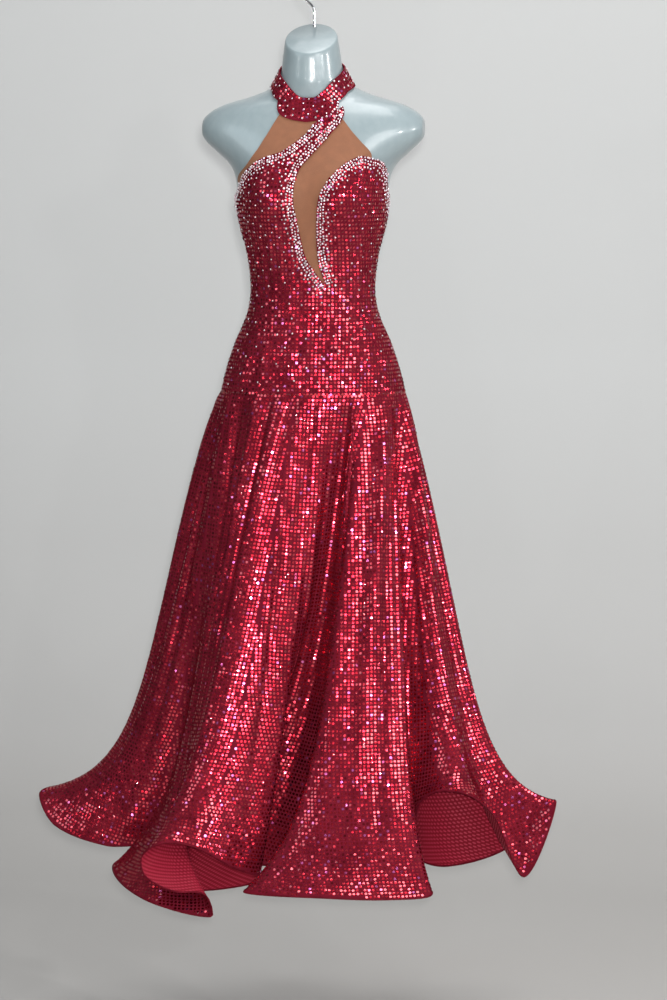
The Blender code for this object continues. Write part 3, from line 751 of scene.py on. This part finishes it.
def repeated_mesh(name, points, pattern, material, smooth):
    """One mesh of many equal pieces, each with a tone from 0 to 1 that its material reads."""
    count, block = points.shape[:2]
    faces = (np.arange(count)[:, None, None] * block + pattern).reshape(-1, 3)
    thing = fast_mesh(name, points.reshape(-1, 3), faces, (material,), smooth=smooth)
    layer = thing.data.attributes.new("tone", "FLOAT", "POINT")
    tones = np.repeat(RANDOM.uniform(0, 1, count), block)
    layer.data.foreach_set("value", tones.astype(np.float32))
    return thing


def build_sequins(name, places, material, tilt=SEQUIN_TILT):
    """Shallow domed foil discs, each a little out of true."""
    centres, outward, along = places
    outward = unit(unit(outward) + RANDOM.normal(0, tilt, outward.shape))
    centres = centres + outward * SEQUIN_LIFT
    rim = centres[:, None] + SEQUIN_RADIUS * circles(outward, along, SEQUIN_SIDES)
    crown = centres + outward * SEQUIN_DOME
    k = np.arange(SEQUIN_SIDES)
    fan = np.stack([np.zeros(SEQUIN_SIDES, int), 1 + k, 1 + (k + 1) % SEQUIN_SIDES], axis=-1)
    points = np.concatenate([crown[:, None], rim], axis=1)
    return repeated_mesh(name, points, fan, material, smooth=True)


def build_stones(name, centres, outward, radii, material):
    """Cut stones: a girdle, a slanted crown and a flat table."""
    sides = STONE_SIDES
    outward = unit(outward + RANDOM.normal(0, STONE_TILT, outward.shape))
    along = np.where(np.abs(outward[:, 2:3]) < UPRIGHT, [[0.0, 0.0, 1.0]], [[1.0, 0.0, 0.0]])
    circle = circles(outward, along, sides)
    radii = np.asarray(radii)[:, None, None]
    rings = [centres[:, None] + circle * radii * width + outward[:, None] * radii * height
             for width, height in STONE_RINGS]
    table = (centres + outward * radii[:, 0] * STONE_TABLE)[:, None]
    pattern = []
    for k in range(sides):
        n = (k + 1) % sides
        for ring in (0, 1):
            a, b = ring * sides + k, ring * sides + n
            pattern += [(a, b, b + sides), (a, b + sides, a + sides)]
        pattern.append((2 * sides + k, 2 * sides + n, 3 * sides))
    points = np.concatenate(rings + [table], axis=1)
    return repeated_mesh(name, points, np.array(pattern), material, smooth=False)


def node_material(name):
    """New material with its node tree and shader."""
    material = bpy.data.materials.new(name)
    material.use_nodes = True
    return material, material.node_tree, material.node_tree.nodes["Principled BSDF"]


def add_node(tree, kind, inputs=None, **settings):
    """Node with its settings and its input values or links."""
    node = tree.nodes.new(kind)
    for key, value in settings.items():
        setattr(node, key, value)
    for key, value in (inputs or {}).items():
        if isinstance(value, bpy.types.NodeSocket):
            tree.links.new(value, node.inputs[key])
        else:
            node.inputs[key].default_value = value
    return node


def ramp(tree, source, stops):
    """Colour ramp with the given stops."""
    node = add_node(tree, "ShaderNodeValToRGB", {0: source})
    elements = node.color_ramp.elements
    while len(elements) < len(stops):
        elements.new(0.5)
    for element, (place, colour) in zip(elements, stops):
        element.position = place
        element.color = (*colour, 1)
    return node.outputs[0]


def bump(tree, shader, height, strength, distance):
    """Bump from a height output into the shader's normal."""
    node = add_node(tree, "ShaderNodeBump", {"Height": height, "Strength": strength,
                                             "Distance": distance})
    tree.links.new(node.outputs[0], shader.inputs["Normal"])


def vector_step(tree, operation, *values):
    """One step of vector arithmetic."""
    return add_node(tree, "ShaderNodeVectorMath", dict(enumerate(values)), operation=operation)


def cut_grid(tree, pitch):
    """Distance to the nearest point of a square grid on the cloth, from 0 to 0.7."""
    place = add_node(tree, "ShaderNodeUVMap", uv_map="cut").outputs[0]
    scaled = vector_step(tree, "MULTIPLY", place, (1 / pitch, 1 / pitch, 0)).outputs[0]
    shifted = vector_step(tree, "ADD", scaled, (0.5, 0.5, 0)).outputs[0]
    part = vector_step(tree, "FRACTION", shifted).outputs[0]
    centred = vector_step(tree, "SUBTRACT", part, (0.5, 0.5, 0)).outputs[0]
    return vector_step(tree, "LENGTH", centred).outputs["Value"]


def clouds(tree, scale, detail):
    """Soft noise in the object's own space."""
    return add_node(tree, "ShaderNodeTexNoise", {"Scale": scale, "Detail": detail}).outputs[0]


def multiplied(tree, colour, shade):
    """Product of two colours."""
    return add_node(tree, "ShaderNodeMix", {0: 1.0, 6: colour, 7: shade},
                    data_type="RGBA", blend_type="MULTIPLY").outputs[2]


def set_shader(tree, shader, colour, settings):
    """The shader's base colour, and its values that are the same all over."""
    tree.links.new(colour, shader.inputs["Base Color"])
    for key, value in settings.items():
        shader.inputs[key].default_value = value


def ground_material():
    """Wine-red stretch cloth between the sequins, with its knit as bump."""
    material, tree, shader = node_material("sequin_ground")
    colour = ramp(tree, clouds(tree, 9.0, 3.0), ((0.3, (0.085, 0.005, 0.012)),
                                                 (0.7, (0.135, 0.009, 0.019))))
    bump(tree, shader, cut_grid(tree, 0.0011), 0.5, 0.0006)
    set_shader(tree, shader, colour, {"Roughness": 0.5, "Specular IOR Level": 0,
                                      "Sheen Weight": 0.03, "Sheen Roughness": 0.4,
                                      "Sheen Tint": (1, 0.12, 0.16, 1)})
    return material


def sequin_material():
    """Mirror foil in reds under a clear gloss, a few discs pale or pink."""
    material, tree, shader = node_material("sequin_foil")
    tone = add_node(tree, "ShaderNodeAttribute", attribute_name="tone").outputs["Fac"]
    colour = ramp(tree, tone, ((0.0, (0.32, 0.010, 0.022)), (0.5, (0.60, 0.018, 0.036)),
                               (0.94, (0.82, 0.05, 0.08)), (0.985, (0.80, 0.16, 0.50))))
    set_shader(tree, shader, colour, {"Metallic": 1, "Roughness": 0.27,
                                      "Specular Tint": (0.6, 0.03, 0.08, 1), "Coat Weight": 0.85,
                                      "Coat Roughness": 0.04, "Coat IOR": 1.6})
    return material


def reverse_material():
    """Plain dull reverse of the cloth, lighter on spots where the sequins' backs just show, which also
    carry a painted sheen.
    """
    material, tree, shader = node_material("cloth_reverse")
    spots = cut_grid(tree, SEQUIN_PITCH * MM)
    # Lighter colour on the spots: partly the sequins' backs showing, partly a painted sheen on them
    colour = ramp(tree, spots, ((0.26, (0.30, 0.018, 0.040)), (0.34, (0.150, 0.004, 0.012))))
    rough = add_node(tree, "ShaderNodeMapRange", {"Value": spots, "From Min": 0.24, "From Max": 0.34,
                                                  "To Min": 0.4, "To Max": 0.8}).outputs[0]
    tree.links.new(rough, shader.inputs["Roughness"])
    bump(tree, shader, spots, 0.25, 0.0008)
    set_shader(tree, shader, colour, {"Specular IOR Level": 0.12})
    return material


def binding_material():
    """Plain satin of the hem's edge."""
    material, tree, shader = node_material("hem_satin")
    colour = ramp(tree, clouds(tree, 60.0, 2.0), ((0.35, (0.07, 0.002, 0.007)),
                                                  (0.65, (0.11, 0.004, 0.011))))
    bump(tree, shader, cut_grid(tree, 0.0016), 0.3, 0.0004)
    set_shader(tree, shader, colour, {"Roughness": 0.6, "Specular IOR Level": 0.05})
    return material


def tulle_material():
    """Tan stretch tulle with the grain of its net."""
    material, tree, shader = node_material("nude_tulle")
    net = cut_grid(tree, 0.0013)
    colour = ramp(tree, net, ((0.12, (0.245, 0.097, 0.043)), (0.5, (0.185, 0.067, 0.028))))
    shade = ramp(tree, clouds(tree, 14.0, 4.0), ((0.3, (0.86, 0.86, 0.86)), (0.7, (1.0, 1.0, 1.0))))
    bump(tree, shader, net, 0.4, 0.0005)
    set_shader(tree, shader, multiplied(tree, colour, shade),
               {"Roughness": 0.75, "Sheen Weight": 0.12, "Sheen Tint": (1, 0.8, 0.65, 1)})
    return material


def form_material():
    """Glossy pale moulded plastic."""
    material, tree, shader = node_material("form_plastic")
    noise = clouds(tree, 30.0, 3.0)
    colour = ramp(tree, noise, ((0.3, (0.205, 0.252, 0.265)), (0.7, (0.225, 0.272, 0.285))))
    bump(tree, shader, noise, 0.05, 0.001)
    set_shader(tree, shader, colour, {"Roughness": 0.3, "Coat Weight": 0.35,
                                      "Coat Roughness": 0.12})
    return material


def chrome_material():
    """Bright plated wire, a little uneven in its polish."""
    material, tree, shader = node_material("hook_chrome")
    rough = add_node(tree, "ShaderNodeMapRange", {"Value": clouds(tree, 220.0, 2.0), "To Min": 0.05,
                                                  "To Max": 0.16}).outputs[0]
    tree.links.new(rough, shader.inputs["Roughness"])
    shader.inputs["Base Color"].default_value = (0.72, 0.73, 0.76, 1)
    shader.inputs["Metallic"].default_value = 1
    return material


def stone_material():
    """Foil-backed crystal with a faint rainbow coating."""
    material, tree, shader = node_material("crystal")
    tone = add_node(tree, "ShaderNodeAttribute", attribute_name="tone").outputs["Fac"]
    colour = ramp(tree, tone, ((0.0, (0.45, 0.38, 0.40)), (0.4, (0.85, 0.74, 0.76)),
                               (0.7, (1.0, 0.70, 0.76)), (0.9, (0.92, 0.88, 1.0))))
    set_shader(tree, shader, colour, {"Metallic": 0.55, "Roughness": 0.08, "Coat Weight": 1})
    return material


def build_skirt(materials):
    """Eight gores as thin shells, with their sequins and the hem's binding."""
    downs = np.interp(np.arange((len(SKIRT_ROWS) - 1) * ROW_FINENESS + 1) / ROW_FINENESS,
                      np.arange(len(SKIRT_ROWS)), SKIRT_ROWS)
    shares = np.linspace(0, 1, GORE_CUTS[-1] * COLUMN_FINENESS + 1)
    face = skirt_face(shares, downs)
    relief = skirt_creases(shares, downs, face)
    face = face + wall_normals(face) * relief[..., None]
    normals = wall_normals(face)
    underside = face - normals * SKIRT_WALL
    for name, first, last in zip(GORE_NAMES, GORE_CUTS, GORE_CUTS[1:]):
        cut = np.s_[:, first * COLUMN_FINENESS:last * COLUMN_FINENESS + 1]
        gore = cloth_shell("cloth_gore_" + name, face[cut], underside[cut],
                           materials["ground"], materials["reverse"])
        dress(gore, "gore_" + name)
        width, length, area = cut_size(face[cut])
        dots = lay_dots(face[cut], normals[cut], SEQUIN_PITCH, SEQUIN_RADIUS, HEM_CLEAR, SEAM_CLEAR)
        sequins = build_sequins("sequins_gore_" + name, dots, materials["sequin"])
        carried(sequins)
    build_binding(face, normals, materials["binding"])


def cut_size(face):
    """Width, length and area of a piece of cloth laid flat, in metres."""
    across, down = cloth_flat_places(face)
    width = round((across[:, -1] - across[:, 0]).max() * MM, 3)
    length = round(down[-1].mean() * MM, 3)
    sides = (face[:-1, 1:] - face[:-1, :-1] + face[1:, 1:] - face[1:, :-1]) / 2
    falls = (face[1:, :-1] - face[:-1, :-1] + face[1:, 1:] - face[:-1, 1:]) / 2
    area = float(np.linalg.norm(np.cross(sides, falls), axis=-1).sum() * MM * MM)
    width = min(width, area / length / FLARE_SHARE)
    return round(width, 3), length, round(area, 4)


def build_binding(face, normals, material):
    """Turned satin edge all round the hem, over both sides of the cloth."""
    edge = face[-1]
    up = unit(face[-3] - face[-1])
    rings = [edge + up * rise + normals[-1] * lift for rise, lift in BINDING_PROFILE]
    thing = fast_mesh("hem_binding", np.concatenate(rings),
                      wrapped_faces(len(rings), len(edge)), (material,))
    height = np.arange(len(rings)) * BINDING_CUT_STEP
    write_cut(thing, np.stack(np.meshgrid(run_along(edge) * MM, height), axis=-1).reshape(-1, 2))
    carried(thing)


def wrapped_faces(rings, columns):
    """Quads between rings of points that close on themselves."""
    faces = []
    for ring in range(rings):
        after = (ring + 1) % rings
        c = np.arange(columns - 1)
        faces.append(np.stack([ring * columns + c, ring * columns + c + 1,
                               after * columns + c + 1, after * columns + c], axis=-1))
    return np.concatenate(faces)


def carried(thing):
    """Piece that moves with the part."""
    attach(thing, "root")


def dress(thing, node):
    """Piece that stands for a solid."""
    carried(thing)
    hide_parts(node)


def outline_of(stretches):
    """Closed outline of a panel in angles and heights."""
    grid = panel_grid(stretches, 1)
    return np.concatenate([grid[:, 0], grid[::-1, 1]])


def inside_outline(outline, angles, heights):
    """Whether each place is inside an outline."""
    inside = np.zeros(len(angles), bool)
    x0, y0 = outline[:, 0], outline[:, 1]
    x1, y1 = np.roll(x0, -1), np.roll(y0, -1)
    for ax, ay, bx, by in zip(x0, y0, x1, y1):
        if ay == by:
            continue
        spans = (ay > heights) != (by > heights)
        crossing = (bx - ax) * (heights - ay) / (by - ay) + ax
        inside ^= spans & (angles < crossing)
    return inside


def figure_dots(outline, pitch, clear):
    """Square grid of angles and heights inside an outline, upright on the figure."""
    angles, heights = [], []
    round_it = np.linspace(-180, 180, ROUND_SAMPLES)
    low, high = outline[:, 1].min(), outline[:, 1].max()
    for height in np.arange(low + clear, high, pitch):
        line = laid_on_figure(round_it, np.full(len(round_it), height), CLOTH_FACE)
        run = run_along(line)
        middle = run[len(run) // 2]
        places = middle + np.arange(-round(middle / pitch), round(middle / pitch)) * pitch
        row = np.interp(places, run, round_it)
        degrees = clear / (run[-1] / 360)
        keep = np.ones(len(row), bool)
        for da, dh in ((degrees, 0), (-degrees, 0), (0, clear), (0, -clear)):
            keep &= inside_outline(outline, row + da, np.full(len(row), height + dh))
        angles.append(row[keep])
        heights.append(np.full(keep.sum(), height))
    return np.concatenate(angles), np.concatenate(heights)


def side_seam(angle):
    """Cut edge under an arm, from the hip seam to the waist."""
    return ((angle, HIP_SEAM), (angle, WAIST))


def bodice_panels():
    """Each panel's stretches between two cut edges with their rows, and its columns."""
    panels = {
        "mesh_inset": ([(MESH_LEFT, MESH_RIGHT, MESH_ROWS)], MESH_COLUMNS),
        "front_left": ([(side_seam(SIDE_LEFT), FRONT_SEAM, LOWER_ROWS),
                        (BAND_OUTER + BAND_TOP_OUTER, KEYHOLE_LEFT + BAND_TOP_INNER, LEFT_ROWS)],
                       LEFT_COLUMNS),
        "front_right": ([(FRONT_SEAM, side_seam(SIDE_RIGHT), LOWER_ROWS),
                         (KEYHOLE_RIGHT, RIGHT_TOP, RIGHT_ROWS)], RIGHT_COLUMNS),
    }
    for name, side in (("back_right", 1), ("back_left", -1)):
        top = [(side * angle, height) for angle, height in BACK_TOP]
        bottom = [(angle, HIP_SEAM) for angle, _ in top]
        panels[name] = ([(bottom, top, BACK_ROWS)], BACK_COLUMNS)
    return panels


def build_bodice(materials):
    """Front and back panels, the mesh inset, and the sequins on them."""
    for name, (stretches, columns) in bodice_panels().items():
        fine = [(start, end, rows * PANEL_FINENESS) for start, end, rows in stretches]
        grid = panel_grid(fine, columns * PANEL_FINENESS)[::-1]
        is_mesh = name == "mesh_inset"
        layer = (MESH_UNDERSIDE, MESH_FACE) if is_mesh else (CLOTH_UNDERSIDE, CLOTH_FACE)
        underside, face = (laid_on_figure(grid[..., 0], grid[..., 1], lift) for lift in layer)
        if not is_mesh:
            face = bodice_face(grid[..., 0], grid[..., 1])
        front = materials["tulle"] if is_mesh else materials["ground"]
        reverse = materials["tulle"] if is_mesh else materials["reverse"]
        cloth = cloth_shell("cloth_" + name, face, underside, front, reverse)
        dress(cloth, name)
        width, length, area = cut_size(face)
        if not is_mesh:
            angles, heights = figure_dots(outline_of(fine), SEQUIN_PITCH, PANEL_CLEAR)
            centres, outward = bodice_face(angles, heights), bodice_normals(angles, heights)
            along = np.cross([[0.0, 0.0, 1.0]], outward)
            sequins = build_sequins("sequins_" + name, (centres, outward, along), materials["sequin"],
                                    BODICE_TILT)
            carried(sequins)


def collar_edge(name, angles):
    """One edge of the collar as points on the neck."""
    heights = [smooth_value(COLLAR_TABLE["angle"], COLLAR_TABLE[name], abs(angle))
               for angle in angles]
    return figure_points(angles, np.array(heights))


def collar_faces():
    """Angles, rows of points on the neck from the collar's top edge down, and their normals."""
    fine = np.linspace(-180, 180, COLLAR_FINE_STEPS + 1)
    run = run_along(collar_edge("lower", fine))
    angles = np.interp(np.linspace(0, run[-1], COLLAR_STEPS + 1), run, fine)
    lower, upper = collar_edge("lower", angles), collar_edge("upper", angles)
    neck = np.array([upper + (lower - upper) * fall for fall in np.linspace(0, 1, COLLAR_ROWS + 1)])
    return angles, neck, wall_normals(neck)


def build_collar(materials):
    """Halter collar with its sequins."""
    _, neck, outward = collar_faces()
    face = neck + outward * COLLAR_FACE
    cloth = cloth_shell("cloth_collar", face, neck + outward * COLLAR_UNDERSIDE,
                        materials["ground"], materials["reverse"])
    dress(cloth, "collar")
    dots = lay_dots(face, outward, SEQUIN_PITCH, COLLAR_CLEAR, COLLAR_FOOT_CLEAR, COLLAR_CLEAR)
    sequins = build_sequins("sequins_collar", dots, materials["sequin"])
    carried(sequins)
    width, length, area = cut_size(face)


def edge_stones(edge, inward):
    """Places every few millimetres along a cut edge, a little inside it."""
    edge = rounded_edge(edge)
    fine = np.array([along_edge(edge, share) for share in np.linspace(0, 1, EDGE_SAMPLES)])
    points = laid_on_figure(fine[:, 0], fine[:, 1], CLOTH_FACE + STONE_LIFT)
    normals = figure_normals(fine[:, 0], fine[:, 1])
    points = points + unit(np.cross(normals, np.gradient(points, axis=0))) * inward
    run = run_along(points)
    wanted = np.arange(STONE_STEP / 2, run[-1], STONE_STEP)
    return [points_at(wanted, run, grid) for grid in (points, normals)]


def spread_stones(points, spacing, taken):
    """Picks points at least their own spacing from all that are taken; returns their rows."""
    kept = np.array(taken)
    chosen = []
    for i in RANDOM.permutation(len(points)):
        if np.min(np.sum((kept - points[i]) ** 2, axis=-1)) >= spacing[i] ** 2:
            kept = np.concatenate([kept, points[i][None]])
            chosen.append(i)
    return np.array(chosen)


def build_crystals(material):
    """Stones in neat rows along the cut edges, thinning out evenly over the bodice."""
    centres, outward, radii = [], [], []
    edges = ((BAND_OUTER[1:] + BAND_TOP_OUTER, -1), (KEYHOLE_LEFT + BAND_TOP_INNER, 1),
             (KEYHOLE_RIGHT + RIGHT_TOP[:0:-1], -1))
    rows = [edge_stones(edge, side * row * STONE_STEP) for edge, side in edges for row in STONE_ROWS]
    for places, normals in rows:
        centres.append(places + RANDOM.normal(0, STONE_JITTER, places.shape))
        outward.append(normals)
        radii.append(RANDOM.uniform(*EDGE_SIZES, len(places)) * STONE_LARGE)
    edge_line = np.concatenate(centres)
    near = KDTree(len(edge_line))
    for i, point in enumerate(edge_line):
        near.insert(Vector(point), i)
    near.balance()
    sides = {
        "left": outline_of([(side_seam(SIDE_LEFT), FRONT_SEAM, LOWER_ROWS),
                            (BAND_OUTER, KEYHOLE_LEFT, OUTLINE_ROWS)]),
        "right": outline_of([(FRONT_SEAM, side_seam(SIDE_RIGHT), LOWER_ROWS),
                             (KEYHOLE_RIGHT, RIGHT_TOP, OUTLINE_ROWS)]),
    }
    for side, outline in sides.items():
        angles, heights = figure_dots(outline, STONE_SEARCH, STONE_MARGIN)
        normals = bodice_normals(angles, heights)
        points = bodice_face(angles, heights) + normals * STONE_LIFT
        distance = np.array([near.find(Vector(point))[2] for point in points])
        spacing = stone_spacing(side, angles, heights, distance)
        chosen = spread_stones(points, spacing, edge_line)
        centres.append(points[chosen])
        outward.append(normals[chosen])
        size = np.where(distance[chosen] < LARGE_REACH, STONE_LARGE, STONE_SMALL)
        radii.append(size * RANDOM.uniform(*LOOSE_SIZES, len(chosen)))
    for part, more in zip((centres, outward, radii), collar_stones()):
        part.append(more)
    stones = build_stones("crystals", np.concatenate(centres), np.concatenate(outward),
                          np.concatenate(radii), material)
    carried(stones)


def stone_spacing(side, angles, heights, distance):
    """Room round each stone: little near an edge, more further off and further down."""
    away = np.clip((distance - STONE_DENSE_WIDTH) / STONE_FADE_WIDTH, 0, 1)
    drop = np.clip((LOW_START - heights) / LOW_FALL, 0, 1)
    crowded = np.clip((LEFT_START - angles) / LEFT_TURN, 0, 1) if side == "left" else 0
    open_room = OPEN_ROOM + LOW_ROOM * drop ** LOW_POWER - LEFT_ROOM * crowded
    if side == "right":
        open_room = open_room + RIGHT_ROOM
    return STONE_STEP + (open_room - STONE_STEP) * away


def collar_stones():
    """Stones that carry the band on over the collar, and a few on the rest of it."""
    angles, neck, outward = collar_faces()
    face = neck + outward * (COLLAR_FACE + STONE_LIFT)
    rows = face.shape[0]
    places, normals, spacing = [], [], []
    for row in range(1, rows - 1):
        fall = row / (rows - 1)
        for column, angle in enumerate(angles):
            if abs(angle) > COLLAR_STONE_END:
                continue
            line = COLLAR_BAND_TOP + (COLLAR_BAND_FOOT - COLLAR_BAND_TOP) * fall
            away = abs(angle - line) / COLLAR_BAND_WIDTH
            places.append(face[row, column])
            normals.append(outward[row, column])
            spacing.append(STONE_STEP if away < 1 else COLLAR_ROOM)
    places, normals, spacing = np.array(places), np.array(normals), np.array(spacing)
    chosen = spread_stones(places, spacing, places[:1] + FAR_AWAY)
    radii = np.where(spacing[chosen] > STONE_STEP, STONE_SMALL, STONE_LARGE)
    return places[chosen], normals[chosen], radii * RANDOM.uniform(*COLLAR_SIZES, len(chosen))


def build_form(material):
    """Torso form with finer rings than its solid."""
    even = [(height, 1) for height in np.arange(FOOT_END, NECK_END, FORM_RING_STEP)]
    angles = np.arange(FORM_SIDES) * 360 / FORM_SIDES
    rings = []
    for height, size in (*FOOT_RINGS, *even, *NECK_RINGS):
        skin = figure_points(angles, np.full(FORM_SIDES, height))
        centre = skin.mean(axis=0)
        rings.append(centre + (skin - centre) * size)
    thing = capped_tube("torso_form", np.array(rings), material)
    dress(thing, "form")


def capped_tube(name, rings, material):
    """Closed tube through rings of points."""
    count, sides = rings.shape[:2]
    points = [tuple(point * MM) for point in rings.reshape(-1, 3)]
    last = (count - 1) * sides
    faces = [tuple(range(sides)), tuple(reversed(range(last, last + sides)))]
    for ring in range(count - 1):
        for side in range(sides):
            a = ring * sides + side
            b = ring * sides + (side + 1) % sides
            faces.append((a, b, b + sides, a + sides))
    mesh = bpy.data.meshes.new(name)
    mesh.from_pydata(points, [], faces)
    work = bmesh.new()
    work.from_mesh(mesh)
    bmesh.ops.recalc_face_normals(work, faces=work.faces)
    work.to_mesh(mesh)
    work.free()
    mesh.materials.append(material)
    mesh.shade_smooth()
    mesh.set_sharp_from_angle(angle=math.radians(TUBE_SHARP))
    return in_scene(name, mesh)


def hook_path():
    """Centre line of the hook's wire, from the neck up and over."""
    centre_z = HOOK_WIRE - HOOK_LOOP
    turns = np.radians(HOOK_TURNS)
    loop = [(HOOK_LOOP * math.sin(turn), centre_z + HOOK_LOOP * math.cos(turn)) for turn in turns]
    stem = [(0, z) for z in HOOK_STEM]
    return np.array([[x, 0.0, z] for x, z in (*stem, *HOOK_BEND, *loop)])


def build_hook(material):
    """Round wire along a smooth curve through the hook's path."""
    path = hook_path()
    fine = np.linspace(0, len(path) - 1, len(path) * HOOK_FINENESS)
    wide = np.concatenate([[2 * path[0] - path[1]], path, [2 * path[-1] - path[-2]]])
    smooth = []
    for place in fine:
        i = min(int(place), len(path) - 2)
        t = place - i
        a, b, c, d = wide[i], wide[i + 1], wide[i + 2], wide[i + 3]
        smooth.append(0.5 * (2 * b + (c - a) * t + (2 * a - 5 * b + 4 * c - d) * t * t
                             + (3 * b - a - 3 * c + d) * t ** 3))
    smooth = np.array(smooth)
    ahead = unit(np.gradient(smooth, axis=0))
    side = np.cross(ahead, [[0.0, 1.0, 0.0]])
    turns = np.arange(HOOK_SIDES) * 2 * math.pi / HOOK_SIDES
    width = np.full(len(smooth), HOOK_WIRE)
    width[-2:] *= HOOK_TAPER
    rings = (smooth[:, None] + width[:, None, None]
             * (np.cos(turns)[None, :, None] * side[:, None]
                + np.sin(turns)[None, :, None] * np.array([0.0, 1.0, 0.0])))
    slope = np.interp(NECK_TOP, FINE_HEIGHTS, FINE_FIGURE["slope"])
    centre_y = np.interp(NECK_TOP, FINE_HEIGHTS, FINE_FIGURE["centre_y"])
    rings[0, :, 2] = NECK_TOP + slope * (rings[0, :, 1] - centre_y) + SEAM_GAP
    thing = capped_tube("wire_hook", rings, material)
    dress(thing, "hook")


def area_light(name, place, aim, size, power, colour=(1, 1, 1)):
    """Square light turned towards a point."""
    lamp = bpy.data.lights.new(name, "AREA")
    lamp.size = size
    lamp.energy = power
    lamp.color = colour
    thing = in_scene(name, lamp)
    thing.location = place
    thing.rotation_euler = (Vector(aim) - Vector(place)).to_track_quat("-Z", "Y").to_euler()
    return thing


def build_stage():
    """Pale floor that sweeps up into a pale wall, which shows only from its front."""
    points = [(x, y, FLOOR_HEIGHT + z) for x in (-STAGE_HALF_WIDTH, STAGE_HALF_WIDTH)
              for y, z in STAGE_PROFILE]
    count = len(STAGE_PROFILE)
    faces = [(i, count + i, count + i + 1, i + 1) for i in range(count - 1)]
    mesh = bpy.data.meshes.new("backdrop")
    mesh.from_pydata(points, [], faces)
    mesh.shade_smooth()
    mesh.materials.append(backdrop_material())
    in_scene("backdrop", mesh)


def backdrop_material():
    """Matt paint, a little darker and warmer near the floor, and clear from behind."""
    material, tree, shader = node_material("backdrop_paint")
    colour = ramp(tree, clouds(tree, 1.6, 6.0), ((0.3, (0.465, 0.47, 0.465)),
                                                 (0.7, (0.50, 0.505, 0.50))))
    place = add_node(tree, "ShaderNodeNewGeometry").outputs["Position"]
    height = add_node(tree, "ShaderNodeSeparateXYZ", {0: place}).outputs["Z"]
    rise = add_node(tree, "ShaderNodeMapRange", {"Value": height, "From Min": FLOOR_HEIGHT,
                                                 "From Max": FLOOR_HEIGHT + SHADE_HEIGHT}).outputs[0]
    shade = ramp(tree, rise, ((0.0, (0.80, 0.77, 0.75)), (0.2, (0.83, 0.81, 0.80)), (1.0, (1, 1, 1))))
    set_shader(tree, shader, multiplied(tree, colour, shade), {"Roughness": 0.9})
    rear = add_node(tree, "ShaderNodeNewGeometry").outputs["Backfacing"]
    clear = add_node(tree, "ShaderNodeBsdfTransparent").outputs[0]
    both = add_node(tree, "ShaderNodeMixShader", {0: rear, 1: shader.outputs[0], 2: clear}).outputs[0]
    tree.links.new(both, tree.nodes["Material Output"].inputs["Surface"])
    return material


def build_world():
    """Soft surrounding light, darker behind the camera so that the foil has contrast."""
    world = bpy.data.worlds.new("studio")
    bpy.context.scene.world = world
    world.use_nodes = True
    tree = world.node_tree
    place = add_node(tree, "ShaderNodeTexCoord").outputs["Generated"]
    split = add_node(tree, "ShaderNodeSeparateXYZ", {0: place})
    across = add_node(tree, "ShaderNodeMath", {0: split.outputs["X"], 1: WORLD_ACROSS, 2: 0.5},
                      operation="MULTIPLY_ADD").outputs[0]
    along = add_node(tree, "ShaderNodeMath", {0: split.outputs["Y"], 1: WORLD_ALONG, 2: across},
                     operation="MULTIPLY_ADD").outputs[0]
    colour = ramp(tree, along, ((0.0, (0.08, 0.08, 0.09)), (0.3, (0.22, 0.22, 0.24)),
                                (0.62, (0.85, 0.87, 0.9))))
    background = tree.nodes["Background"]
    tree.links.new(colour, background.inputs["Color"])
    background.inputs["Strength"].default_value = WORLD_STRENGTH


def build_camera():
    """Camera at the photograph's place; returns where it is."""
    turn = math.radians(CAMERA_AZIMUTH)
    right = Vector((math.cos(turn), math.sin(turn), 0))
    back = Vector((math.sin(turn), -math.cos(turn), 0))
    aim = (right * AIM_ACROSS + Vector((0, 0, AIM_HEIGHT))) * MM
    place = (right * AIM_ACROSS + back * CAMERA_DISTANCE + Vector((0, 0, CAMERA_HEIGHT))) * MM
    data = bpy.data.cameras.new("camera")
    data.sensor_fit = "AUTO"
    data.lens = data.sensor_width * FOCAL_PIXELS / FRAME_LONG_SIDE
    camera = in_scene("camera", data)
    camera.location = place
    camera.rotation_euler = (aim - place).to_track_quat("-Z", "Y").to_euler()
    bpy.context.scene.camera = camera
    return place


def build_lights(camera_place):
    """Soft lights, a small flash by the camera and the lamps for the glints."""
    for name, (place, aim, width, power, colour) in SOFT_LIGHTS.items():
        area_light(name, place, aim, width, power, colour)
    flash = area_light("flash", camera_place + Vector(FLASH_OFFSET), MIDDLE, FLASH_WIDTH, FLASH_POWER)
    flash.data.shape = "DISK"
    for i, (azimuth, height, power) in enumerate(GLINT_LAMPS):
        turn = math.radians(azimuth)
        place = (GLINT_DISTANCE * math.sin(turn), -GLINT_DISTANCE * math.cos(turn), height)
        area_light(f"glint_{i}", place, MIDDLE, GLINT_WIDTH, power)


def main():
    """Dresses the part, and sets the stage, the lights and the camera."""
    for thing in list(bpy.data.objects):
        bpy.data.objects.remove(thing, do_unlink=True)
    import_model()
    materials = {
        "ground": ground_material(),
        "sequin": sequin_material(),
        "reverse": reverse_material(),
        "binding": binding_material(),
        "tulle": tulle_material(),
    }
    build_form(form_material())
    build_hook(chrome_material())
    build_bodice(materials)
    build_collar(materials)
    build_skirt(materials)
    build_crystals(stone_material())
    build_stage()
    build_world()
    build_lights(build_camera())
    bpy.context.scene.view_settings.view_transform = "Standard"


main()
